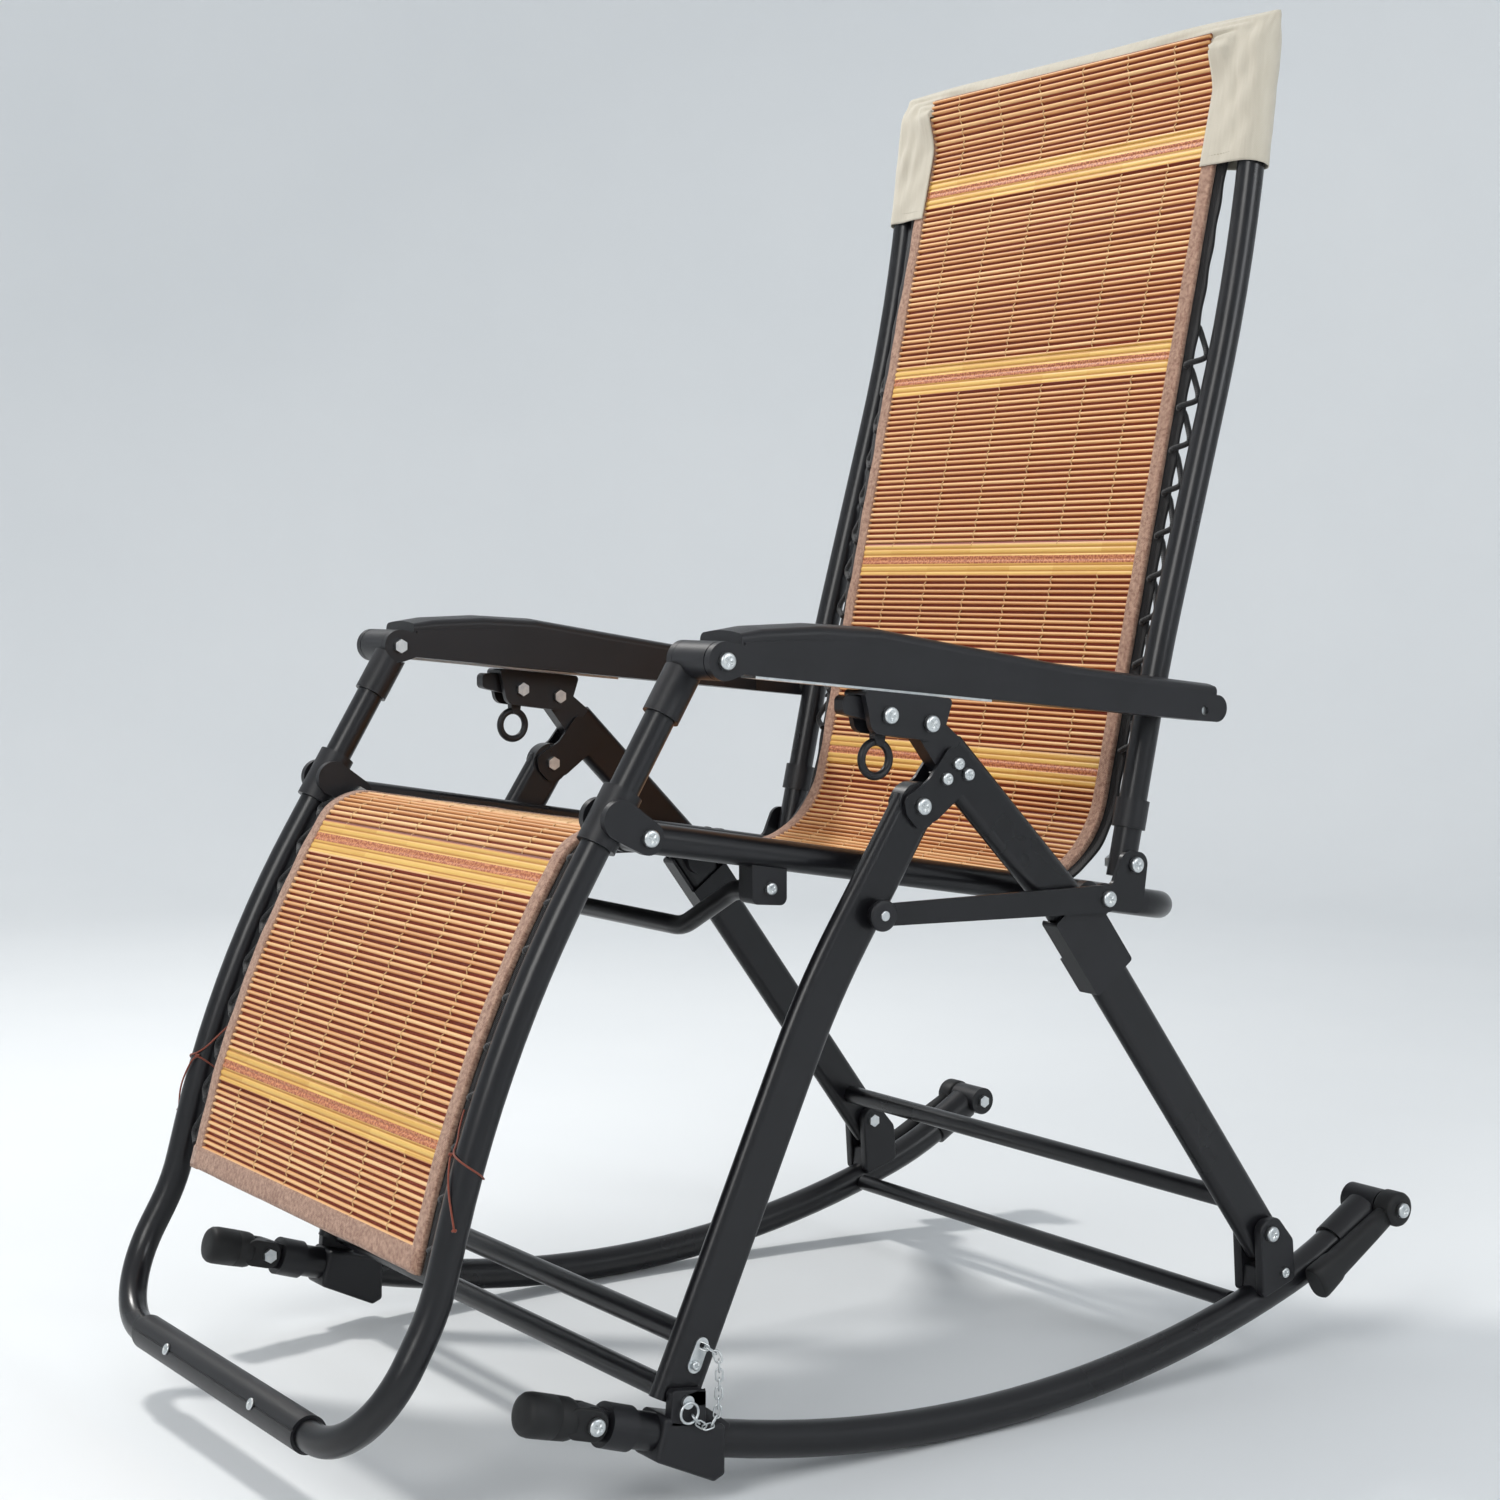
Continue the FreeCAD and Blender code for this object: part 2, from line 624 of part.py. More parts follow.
lug_foot = knee + lower_down * size("seat_pivot_drop")
lug_x = rail_x + tube_r + 6.5
lug_thick = 8
lug_plate = plate("lug_plate", stadium(lug_foot, 15, seat_pivot, 13), leg_in - lug_thick - 0.1, lug_thick)
lug_boss = rod("lug_boss", seat_pivot, lug_x, leg_in - lug_thick - lug_x, 9.5)
lug = cut("lug", fuse("lug_solid", lug_plate, lug_boss), side_hole("lug_hole", seat_pivot))
pair("seat_lugs", lug)

leg_bolts = [
    bolt("hinge_bolt", hinge, plate_back, plate_face),
    bolt("leg_top_bolt", leg_top, leg_in - 7, leg_out + 7),
]
screw_spots = [(8, 2), (8, 19), (22, 1)]
hinge_screws = [rod(f"hinge_screw{i}", leg_start + upper_down * down + head_side * out, plate_face, 3, 5)
                for i, (down, out) in enumerate(screw_spots)]
seat_shank = rod("seat_pivot_shank", seat_pivot, rail_x + tube_r + 0.6, leg_in - rail_x - tube_r - 0.8,
                 "sizes.bolt_radius")
pair("rear_leg_bolts", *leg_bolts, *hinge_screws, seat_shank)

# Front legs, bent forward below the hinge.
front_edges = shifted(bent([hinge, front_bend, front_foot], [size("front_leg_bend")]), frame_x)
front_top = rod("front_leg_eye", hinge, leg_in + 0.1, size("leg_thick") - 0.2, leg_half - 1)
front_leg = cut("front_leg", fuse("front_leg_solid", oval_bar("front_leg_bar", front_edges), front_top),
                side_hole("front_hinge_hole", hinge), side_hole("front_link_hole", link_front),
                rod("front_pin_hole", lock_pin, rail_x, "2 * sizes.rail_gap", "sizes.pin_radius + 0.06"))
both("front_leg", front_leg)
front_crosses = [rod(f"front_cross{i}", front_foot - front_low * size(up), -leg_in, 2 * leg_in, "sizes.cross_radius")
                 for i, up in enumerate(("front_cross_low", "front_cross_high"))]
group("front_cross_tubes", *front_crosses)
hanger_at = front_foot - front_low * size("hanger_up") - ahead(front_low) * 2.4
hanger_eye = hanger_at - front_low * size("hanger_long")
hanger = plate("hanger", stadium(hanger_at, 6.4, hanger_eye, 6), leg_out + 0.05, 1.6, [(hanger_eye, "2.4")])
hanger_rivet = rod("hanger_rivet", hanger_at, leg_out + 1.65, 2, 3.6)
pair("chain_hangers", hanger, hanger_rivet)

# Lock pins with pull rings.
pin_start = leg_in + gap
pin_reach = frame_x + base_half
ring_radius = 8
pin_shank = rod("pin_shank", lock_pin, pin_start, pin_reach + 3.2 - pin_start, "sizes.pin_radius")
pin_collar = rod("pin_collar", lock_pin, pin_reach + 0.4, 2.8, "sizes.pin_radius + 2.2")
pin_ring = doc.addObject("Part::Torus", "pin_ring")
pin_ring.Radius1 = ring_radius
pin_ring.Radius2 = 1.1
ring_spot = at_x(lock_pin + side(0, -ring_radius), pin_reach + 4.2)
pin_ring.Placement = Placement(ring_spot, Rotation(Vector(0, 1, 0), 90))
both("lock_pin", fuse("lock_pin", pin_shank, pin_collar, pin_ring))

# Links and the sleeves they push along the rear legs.
link_x = leg_out + 4.2
link_plate = plate("link_plate", stadium(link_front, 9, sleeve_eye, 12), link_x, "sizes.link_thick")
link_boss = rod("link_boss", link_front, leg_out + gap, link_x - leg_out - gap, 9)
link = cut("link", fuse("link_solid", link_plate, link_boss), side_hole("link_hole", link_front))
pair("link_bars", link)
link_face = link_x + size("link_thick")
link_bolt = bolt("link_bolt", link_front, leg_in - 0.2, link_face, nut=False)
eye_cap = rod("sleeve_eye_cap", sleeve_eye, link_face, 3.4, 6.8)
pair("link_bolts", link_bolt, eye_cap)

sleeve_top = knee + lower_down * 7
sleeve_bottom = sleeve_top + lower_down * size("sleeve_long")
wall = leg_half + 3.6
lower_side = ahead(lower_down)
sleeve_outline = [
    (sleeve_top + lower_side * wall, 3), (sleeve_top - lower_side * wall, 3),
    (sleeve_bottom - lower_side * wall, 3), (sleeve_bottom + lower_side * wall, 3),
]
sleeve_x = leg_in - 3.2
sleeve_box = plate("sleeve_box", closed(sleeve_outline), sleeve_x, leg_out + 3.6 - sleeve_x)
ear_start = leg_out + 0.6
sleeve_ear = plate("sleeve_ear", stadium(lug_foot, 14, sleeve_eye, 13), ear_start, leg_out + 3.6 - ear_start)
room = leg_half + 0.35
bore_outline = [
    (sleeve_top - lower_down * 20 + lower_side * room, 0), (sleeve_top - lower_down * 20 - lower_side * room, 0),
    (sleeve_bottom + lower_down * 20 - lower_side * room, 0), (sleeve_bottom + lower_down * 20 + lower_side * room, 0),
]
sleeve_bore = plate("sleeve_bore", closed(bore_outline), leg_in - 0.35, size("leg_thick") + 0.7)
open_end = sleeve_top + lower_down * size("sleeve_open")
open_outline = [
    (sleeve_top - lower_down * 20 + lower_side * 60, 0), (sleeve_top - lower_down * 20 - lower_side * 60, 0),
    (open_end - lower_side * 60, 0), (open_end + lower_side * 60, 0),
]
sleeve_open = plate("sleeve_open", closed(open_outline), leg_in - 20, 20.4)
sleeve = cut("sleeve", fuse("sleeve_solid", sleeve_box, sleeve_ear), sleeve_bore, sleeve_open)
pair("leg_sleeves", sleeve)

# Seat frame.
seat_path = bent([at_x(foot_pivot, rail_x), at_x(seat_end, rail_x), at_x(seat_end, -rail_x), at_x(foot_pivot, -rail_x)],
                 [size("seat_bend")] * 2)
seat_bar = tube("seat_bar", seat_path, "sizes.tube_radius")
seat_room = tube("seat_room", seat_path, snug)
eye_wide = 2 * tube_r - 0.4
seat_eyes = [rod(f"seat_eye{i}", foot_pivot, x - eye_wide / 2, eye_wide, "sizes.tube_radius - 0.05")
             for i, x in enumerate((rail_x, -rail_x))]
seat_holes = [hole(f"seat_eye_hole{i}", foot_pivot, x - 40, 80) for i, x in enumerate((rail_x, -rail_x))]
keep("seat_frame", cut("seat_tube", fuse("seat_solid", seat_bar, *seat_eyes), *seat_holes))

rail_face = rail_x + tube_r
rail_back = rail_x - tube_r
plate_x = rail_face + 0.2
rear_plate_edge = [
    (seat_pivot + seat_forward * 17 + seat_up * 10, 8), (seat_pivot + seat_forward * 17 - seat_up * 11, 8),
    (seat_pivot - seat_forward * 84 - seat_up * 10, 8), (back_pivot - seat_forward * 15 + seat_up * 12, 12),
    (back_pivot + seat_forward * 15 + seat_up * 12, 12), (seat_pivot - seat_forward * 44 + seat_up * 11, 8),
]
rear_plate = plate("rear_plate", closed(rear_plate_edge), plate_x, 4, [(seat_pivot, running), (back_pivot, running)])
pair("seat_rear_plates", rear_plate)

bow = seat_pivot + seat_forward * size("bow_bar_at")
bow_low = bow + side(-4, -size("bow_bar_drop"))
bow_side = [at_x(bow + side(0, -30), rail_x - 3), at_x(bow + side(0, -34), rail_x - 44), at_x(bow_low, size("bow_bar_flat"))]
bow_path = bent(bow_side + [at_x(point, -point.x) for point in bow_side[::-1]], [40, 50, 50, 40])
keep("under_seat_bar", tube("bow_bar", bow_path, "sizes.bar_radius"))
bow_room = tube("bow_room", bow_path, "sizes.bar_radius + sizes.sleeve_fit")
clamp_edge = [
    (bow + side(-17, 6), 2), (bow + side(-17, -40), 6), (bow + side(17, -43), 6), (bow + side(17, 2), 2),
]
clamp_solid = plate("clamp_solid", closed(clamp_edge), rail_x - 12.2, 19.2)
pair("seat_bar_clamps", cut("clamp", clamp_solid, seat_room, bow_room))
clamp_screw = rod("clamp_screw", bow + side(0, -28), rail_x + 7, 3, 5)
seat_bolts = [
    bolt("back_pivot_bolt", back_pivot, rail_back - 0.4, plate_x + 4.2),
    bolt("foot_pivot_bolt", foot_pivot, rail_back - 7.2, rail_face + 7.2),
]
plate_screw = rod("plate_screw", seat_pivot - seat_forward * 24, plate_x + 4, 3, 5)
pair("seat_bolts", *seat_bolts, plate_screw, clamp_screw)

# Back frame: the tube bows behind the mat's line and comes back to it at the top.
bow_turn = back_pivot + back_up * (size("back_long") - size("back_bow_below")) - back_front * size("back_bow")
back_corners = [back_pivot - back_up * tube_r, back_pivot + back_up * size("back_bow_start"), bow_turn, back_top]
bow_bends = [size("back_bow_bend")] * 2
back_path = bent([at_x(point, rail_x) for point in back_corners] + [at_x(point, -rail_x) for point in back_corners[::-1]],
                 bow_bends + [size("back_bend")] * 2 + bow_bends)
back_bar = tube("back_bar", back_path, "sizes.tube_radius")
back_room = tube("back_room", back_path, "sizes.tube_radius + 0.2")
back_holes = [hole(f"back_hole{i}", back_pivot, x - 40, 80) for i, x in enumerate((rail_x, -rail_x))]
keep("back_frame", cut("back_tube", back_bar, *back_holes))
collar = post("collar", at_x(back_pivot + back_up * size("collar_up"), rail_x), back_up, "sizes.collar_long",
              "sizes.tube_radius + sizes.collar_wall")
pair("back_collars", cut("back_collar", collar, back_room))

# The armrest's rear pin stands on a lug at the tube's outer side.
arm_lug_in = rail_face + 0.2
arm_lug_foot = back_pivot + back_up * (arm_rear - back_pivot).dot(back_up)
arm_lug = plate("arm_lug", stadium(arm_lug_foot, 10, arm_rear, 8), arm_lug_in, size("arm_tail_inner") - 0.4 - arm_lug_in)
arm_pin = rod("arm_pin", arm_rear, arm_lug_in, size("arm_outer") - 3 - arm_lug_in, "sizes.bolt_radius")
pair("arm_rear_bolts", fuse("arm_rear_bolt", arm_lug, arm_pin))

# Foot frame.
foot_corners = [arm_front - shin_up * 17, shin_end, ankle, toe]
foot_bends = [size("foot_bend"), size("ankle_bend"), size("toe_bend")]
foot_path = bent([at_x(point, rail_x) for point in foot_corners] + [at_x(point, -rail_x) for point in foot_corners[::-1]],
                 foot_bends + foot_bends[::-1])
keep("foot_frame", tube("foot_bar", foot_path, "sizes.tube_radius"))
foot_room = tube("foot_room", foot_path, snug)
grip_bar = rod("grip_bar", toe, -size("grip_half"), "2 * sizes.grip_half", "sizes.grip_radius")
seam_at = toe + lean(size("grip_radius"), size("grip_seam_lean"))
grip_seam = rod("grip_seam", seam_at, -size("grip_half"), "2 * sizes.grip_half", "sizes.grip_seam")
keep("foot_grip", cut("grip", grip_bar, foot_room, grip_seam))

sleeve_mid = arm_front + shin_up * (foot_pivot - arm_front).dot(shin_up)
shin_sleeve = post("shin_sleeve", at_x(sleeve_mid - shin_up * (size("shin_sleeve_long") / 2), rail_x), shin_up,
                   "sizes.shin_sleeve_long", "sizes.tube_radius + 4")
shin_strap = stadium(sleeve_mid, 16, foot_pivot, 13.5)
ear_thick = 6.6
shin_ears = [plate(f"shin_ear{i}", shin_strap, x, ear_thick)
             for i, x in enumerate((rail_back - 0.4 - ear_thick, rail_face + 0.4))]
eye_room = rod("eye_room", foot_pivot, rail_back - 0.4, 2 * tube_r + 0.8, "sizes.tube_radius + 0.5")
foot_bracket = cut("foot_bracket", fuse("foot_bracket_solid", shin_sleeve, *shin_ears), foot_room, eye_room,
                   rail_hole("foot_bracket_hole", foot_pivot))
pair("foot_brackets", foot_bracket)

barrel_in = size("arm_inner") + 7.6
barrel_out = size("arm_outer") - 8.4
arm_barrel = rod("arm_barrel_bar", arm_front, barrel_in, barrel_out - barrel_in, "sizes.knuckle_radius")
arm_stem = post("arm_stem", at_x(arm_front - shin_up * size("arm_stem_down"), rail_x), shin_up, "sizes.arm_stem_long",
                "sizes.tube_radius + 2.9")
knuckle_room = rod("knuckle_room", arm_front, size("arm_inner") - 10, barrel_in - size("arm_inner") + 10,
                   "sizes.knuckle_radius + 0.6")
barrel = cut("barrel", fuse("barrel_solid", arm_barrel, arm_stem), knuckle_room, foot_room,
             rail_hole("barrel_hole", arm_front))
pair("arm_barrels", barrel)
arm_front_bolt = bolt("arm_front_bolt", arm_front, size("arm_inner") - 0.3, size("arm_outer") + 0.3)
pair("arm_front_bolts", arm_front_bolt)

# Armrests: a lower rail with two knuckles, a crowned pad and a slide strip underneath.
arm_back = (arm_rear - arm_front).normalize()
arm_up = side(-arm_back.z, arm_back.y)


def arm_point(along, up):
    return arm_front + arm_back * along + arm_up * up


def arm_spline(stations):
    curve = Part.BSplineCurve()
    curve.interpolate([arm_point(along, up) for along, up in stations])
    return curve


seam_line = [(17, 16), (60, 21.5), (122, 26), (222, 22), (330, 17), (444, 15), (530, 15)]
under_line = [(17, -9), (530, -9)]
rail_outline = [
    Part.LineSegment(arm_point(*under_line[1]), arm_point(*under_line[0])),
    Part.LineSegment(arm_point(*under_line[0]), arm_point(*seam_line[0])),
    arm_spline(seam_line),
    Part.Arc(arm_point(*seam_line[-1]), arm_point(541, 3), arm_point(*under_line[1])),
]
rail_solid = plate("arm_rail_solid", rail_outline, "sizes.arm_inner", "sizes.arm_outer - sizes.arm_inner")
knuckle_strap = stadium(arm_front, size("knuckle_radius"), arm_point(32, 5), 7.5)
knuckles = [plate(f"arm_knuckle{i}", knuckle_strap, x, 7.2)
            for i, x in enumerate((size("arm_inner"), size("arm_outer") - 7.2))]


tail_from = 360
tail_to = 430


def tail_tool(name):
    """Takes the inner rear corner off, so the rail clears the back tube."""
    step = size("arm_tail_inner")
    inner = size("arm_inner") - 5
    start = arm_point(tail_from, 0).y
    finish = arm_point(tail_to, 0).y
    rear = finish + (tail_to - tail_from) * 3
    low = arm_rear.z - size("rail_gap")
    corners = [Vector(inner, start, low), Vector(step, finish, low), Vector(step, rear, low), Vector(inner, rear, low)]
    edges = [Part.LineSegment(a, b) for a, b in zip(corners, corners[1:] + corners[:1])]
    return extruded(name, edges, Vector(0, 0, 1), 3 * size("rail_gap"))


arm_holes = [rail_hole("arm_front_hole", arm_front), rail_hole("arm_rear_hole", arm_rear)]
rail = cut("arm_rail", fuse("arm_rail_whole", rail_solid, *knuckles), tail_tool("arm_tail"), *arm_holes)
both("arm_rail", rail)

# Stations of the pad: distance from the front pin and rise over the seam.
pad_stations = [(14, 9), (36, 12), (90, 13.5), (150, 14.5), (240, 14), (350, 12), (440, 11), (528, 10)]

def seam_height(along):
    curve = arm_spline(seam_line)
    vertex = Part.Vertex(arm_point(along, 0))
    best = curve.toShape().distToShape(Part.Wire([Part.makeLine(arm_point(along, -80), arm_point(along, 80))]))
    return (best[1][0][0] - vertex.Point).dot(arm_up)


def pad_ring(along, rise):
    low = seam_height(along) - 2
    share = min(1, max(0, (along - tail_from) / (tail_to - tail_from)))
    inner = size("arm_inner") + 1 + share * (size("arm_tail_inner") - size("arm_inner"))
    outer = size("arm_outer") - 1
    base = arm_point(along, low)
    rise = rise + 2
    corner = min(7, (rise - 2) * 0.55)

    def spot(x, up):
        return at_x(base + arm_up * up, x)

    middle = (inner + outer) / 2
    soft = corner * 0.293
    edges = [
        Part.LineSegment(spot(inner, 0), spot(outer, 0)),
        Part.LineSegment(spot(outer, 0), spot(outer, rise - 2 - corner)),
        Part.Arc(spot(outer, rise - 2 - corner), spot(outer - soft, rise - 2 - soft), spot(outer - corner, rise - 2)),
        Part.Arc(spot(outer - corner, rise - 2), spot(middle, rise), spot(inner + corner, rise - 2)),
        Part.Arc(spot(inner + corner, rise - 2), spot(inner + soft, rise - 2 - soft), spot(inner, rise - 2 - corner)),
        Part.LineSegment(spot(inner, rise - 2 - corner), spot(inner, 0)),
    ]
    return wire(edges)


pad = loft("arm_pad", [pad_ring(along, rise) for along, rise in pad_stations], ruled=True)
both("arm_pad", cut("arm_pad_seated", pad, rail_solid))
strip_outline = [(arm_point(30, -9), 0), (arm_point(270, -9), 0), (arm_point(270, -11), 0), (arm_point(30, -11), 0)]
strip = plate("arm_strip", closed(strip_outline), frame_x - 13, 20)
pair("arm_slide_strips", strip)

# Brackets on the rear legs' tops; the armrests slide over them.
top_at = (leg_top - arm_front).dot(arm_back)
top_line = -11.4
drop = (leg_top - arm_front).dot(arm_up)


def bracket_point(along, up):
    return arm_point(top_at + along, up)


lever_at = leg_top + seat_up + seat_forward * 43
shoe_edge = [
    (bracket_point(-70, top_line), 4), (bracket_point(22, top_line), 4), (bracket_point(15, drop - 8), 8),
    (bracket_point(2, drop - 14), 10), (bracket_point(-58, drop - 12), 10), (bracket_point(-64, drop + 6), 6),
]
shoe_start = leg_in - gap - 6
shoe_wide = size("leg_thick") + 2 * gap + 12
shoe = plate("shoe", closed(shoe_edge), shoe_start, shoe_wide, [(leg_top, running), (lever_at, running)])
shoe_slot_edge = [
    (bracket_point(-120, top_line - 4.5), 0), (bracket_point(60, top_line - 4.5), 0),
    (bracket_point(60, drop - 60), 0), (bracket_point(-120, drop - 60), 0),
]
shoe_slot = plate("shoe_slot", closed(shoe_slot_edge), leg_in - gap, size("leg_thick") + 2 * gap)
pair("arm_brackets", cut("arm_bracket", shoe, shoe_slot))
lever_bolt = bolt("lever_bolt", lever_at, shoe_start - 0.2, shoe_start + shoe_wide + 0.2)
pair("lever_bolts", lever_bolt)

# Lock levers with finger rings.
lever_x = frame_x - 6
ring_at = lever_at + side(-3, -36)
lever_tip = lever_at + side(-31, 8)
lever_edge = [
    (lever_at + side(8, -9), 5), (lever_at + side(8, 9), 5), (lever_tip + side(4, 8), 3),
    (lever_tip + side(-9, 9), 5), (lever_tip + side(-9, -6), 5),
]
lever_arm = plate("lever_arm", closed(lever_edge), lever_x, 12)
lever_neck = plate("lever_neck", stadium(lever_at, 7, lever_at + side(-1, -20), 5), lever_x + 2, 8)
lever_ring = doc.addObject("Part::Torus", "lever_ring")
lever_ring.Radius1 = 14
lever_ring.Radius2 = 3.4
lever_ring.Placement = Placement(at_x(ring_at, frame_x), Rotation(Vector(0, 1, 0), 90))
lever = cut("lever", fuse("lever_solid", lever_arm, lever_neck, lever_ring), side_hole("lever_hole", lever_at))
both("lock_lever", lever)

# Sling and slat mat: one ribbon for each of the back, the seat and the foot.
sling_low = size("sling_lift")
sling_high = sling_low + size("sling_thick")
mat_low = sling_high + size("mat_fit")
mat_high = mat_low + size("mat_thick")


def offset_path(points, radii, distance):
    """Corner points and radii of the path moved to its upper side."""
    moved = []
    new_radii = []
    ways = [(b - a).normalize() for a, b in zip(points, points[1:])]
    normals = [side(-way.z, way.y) for way in ways]
    moved.append(points[0] + normals[0] * distance)
    for i, radius in enumerate(radii):
        one, two = normals[i], normals[i + 1]
        moved.append(points[i + 1] + (one + two) * (distance / (1 + one.dot(two))))
        left = ways[i].y * ways[i + 1].z - ways[i].z * ways[i + 1].y
        new_radii.append(radius - distance if left > 0 else radius + distance)
    moved.append(points[-1] + normals[-1] * distance)
    return moved, new_radii


def reversed_edges(edges):
    flipped = []
    for edge in reversed(edges):
        if isinstance(edge, Part.Arc):
            middle = edge.value((edge.FirstParameter + edge.LastParameter) / 2)
            flipped.append(Part.Arc(edge.EndPoint, middle, edge.StartPoint))
        else:
            flipped.append(Part.LineSegment(edge.EndPoint, edge.StartPoint))
    return flipped


def ribbon(points, radii, low, high):
    """Outline of a strip that follows a path between two offsets."""
    under = bent(*offset_path(points, radii, low))
    over = bent(*offset_path(points, radii, high))
    ends = (Part.LineSegment(under[-1].EndPoint, over[-1].EndPoint),
            Part.LineSegment(over[0].StartPoint, under[0].StartPoint))
    return under + [ends[0]] + reversed_edges(over) + [ends[1]]


def slatted(points, radii, low, high):
    """The mat's outline: a smooth underside and a row of slats on top."""
    path = wire(bent(*offset_path(points, radii, low)))
    pitch = size("slat_pitch")
    groove = high - low - size("slat_deep")
    count = int((path.Length + pitch - size("slat_wide")) / pitch)
    stations = []
    for i in range(count):
        start = i * pitch
        stations += [(start, high - low), (start + size("slat_wide"), high - low)]
        if i < count - 1:
            stations += [(start + size("slat_wide"), groove), (start + pitch, groove)]
    under = []
    over = []
    ends = [0]
    for edge in path.Edges:
        ends.append(ends[-1] + edge.Length)
    for along, height in stations:
        index = next((i for i in range(len(path.Edges)) if along <= ends[i + 1] + 1e-6), len(path.Edges) - 1)
        edge = path.Edges[index]
        parameter = edge.getParameterByLength(min(along - ends[index], edge.Length))
        way = edge.tangentAt(parameter)
        base = edge.valueAt(parameter)
        over.append(base + side(-way.z, way.y) * height)
        if height == high - low:
            under.append(base)
    loop = under + over[::-1]
    return [Part.LineSegment(a, b) for a, b in zip(loop, loop[1:] + loop[:1])]


mat_end = back_pivot + back_up * (size("back_long") - size("mat_top"))
sling_end = back_pivot + back_up * (size("back_long") - tube_r + 0.4)
split = back_pivot + back_up * size("mat_split")
cushion = {
    "back": ([mat_end, split], []),
    "seat": ([split - back_up * size("mat_part"), seat_pivot - seat_forward * size("mat_corner"),
              foot_pivot - seat_forward * size("seat_mat_front")], [size("mat_turn_radius")]),
    "foot": ([sleeve_mid - shin_up * size("foot_mat_top"), shin_end, ankle + foot_up * size("foot_mat_end")],
             [size("foot_bend")]),
}
for zone, (points, radii) in cushion.items():
    sling_points = [sling_end] + points[1:] if zone == "back" else points
    layers = {
        "sling": plate(zone + "_sling_body", ribbon(sling_points, radii, -sling_high, -sling_low),
                       "-sizes.sling_half", "2 * sizes.sling_half"),
        "mat": plate(zone + "_mat_body", slatted(points[::-1], radii, mat_low, mat_high),
                     "-sizes.mat_half", "2 * sizes.mat_half"),
    }
    for layer, solid in layers.items():
        trimmed = cut(f"{zone}_{layer}_trim", solid, back_room) if zone == "back" else solid
        keep(f"{zone}_{layer}", trimmed)

back_line = wire(bent(back_corners, bow_bends))


def back_offset(along):
    """How far the back tube's axis lies in front of the mat's line, at a distance up the back."""
    start = back_pivot + back_up * along
    probe = Part.makeLine(start - back_front * 60, start + back_front * 60)
    return (back_line.distToShape(probe)[1][0][0] - start).dot(back_front)


def lacing(name, start, way, normal, length, tube_offset):
    """A zigzag strip in the sling's plane, from the sling's edge to the tube's side."""
    half = size("lace_wide") / 2
    pitch = size("lace_pitch")
    low = []
    high = []
    for i in range(2 * int(length / pitch) + 1):
        along = i * pitch / 2
        offset = tube_offset(along)
        drop = max(0, sling_low - offset, offset - sling_high)
        reach = math.sqrt(max(tube_r ** 2 - drop ** 2, 0)) + 0.3
        x = size("sling_half") + 0.02 + half if i % 2 == 0 else rail_x - reach - half
        spot = start + way * along + normal * sling_low
        low.append(at_x(spot, x - half))
        high.append(at_x(spot, x + half))
    loop = low + high[::-1]
    edges = [Part.LineSegment(a, b) for a, b in zip(loop, loop[1:] + loop[:1])]
    return extruded(name, edges, normal, "sizes.sling_thick")


lace_from = size("lace_back_from")
pair("back_lacing", lacing("back_lace", back_pivot + back_up * lace_from, back_up, back_front, size("lace_back_long"),
                           lambda along: back_offset(lace_from + along)))
pair("seat_lacing", lacing("seat_lace", foot_pivot - seat_forward * size("lace_seat_from"), -seat_forward, seat_up,
                           size("lace_seat_long"), lambda along: 0))
pair("foot_lacing", lacing("foot_lace", sleeve_mid - shin_up * size("lace_foot_from"), -shin_up, shin_front,
                           size("lace_foot_long"), lambda along: 0))


# Hood over the top corners of the back: its front outline within its side outline.
def back_point(along, out, x=0):
    return at_x(back_pivot + back_up * along + back_front * out, x)


top = size("back_long") + size("hood_rise")
low = top - size("hood_deep")
notch = size("back_long") - tube_r - 2.5
half = size("hood_half")
inner = size("hood_inner")
depth = size("hood_thick")
hood_front = [(-half, low, 4), (-inner, low, 2), (-inner, notch, 6), (inner, notch, 6), (inner, low, 2), (half, low, 4),
              (half, top, 48), (-half, top, 48)]
hood_edges = closed([(back_point(along, -depth, x), radius) for x, along, radius in hood_front])
hood_block = extruded("hood_block", hood_edges, back_front, "2 * sizes.hood_thick")
hood_side = [(low - 1, -size("hood_back_low"), 0), (top, -depth / 2, 13), (top, depth / 2, 13),
             (low - 1, size("hood_front_low"), 0)]
hood_profile = plate("hood_profile", closed([(back_point(along, out), radius) for along, out, radius in hood_side]),
                     "-sizes.hood_half", "2 * sizes.hood_half")
slit_half = size("sling_half") + 0.4
slit_corners = [(-slit_half, low - 20), (slit_half, low - 20), (slit_half, size("back_long")),
                (-slit_half, size("back_long"))]
slit_edges = closed([(back_point(along, sling_low - 0.4, x), 0) for x, along in slit_corners])
slit = extruded("hood_slit", slit_edges, back_front, mat_high - sling_low + 0.9)
keep("headrest_hood", cut("hood", common("hood_solid", hood_block, hood_profile), back_room, slit))

doc.recompute()

os.makedirs("parts", exist_ok=True)
for thing in doc.Objects:
    if {"Invalid", "Error"} & set(thing.State):
        raise SystemExit(f"{thing.Name} did not build: {thing.State}")
for node in nodes:
    shape = node.Shape
    if shape.isNull() or not shape.isValid() or not shape.Solids:
        raise SystemExit(f"{node.Label} is not a valid solid")
for node in nodes:
    node.Shape.exportStep(f"parts/{node.Label}.step")
print(len(nodes), "nodes")
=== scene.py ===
import json
import math

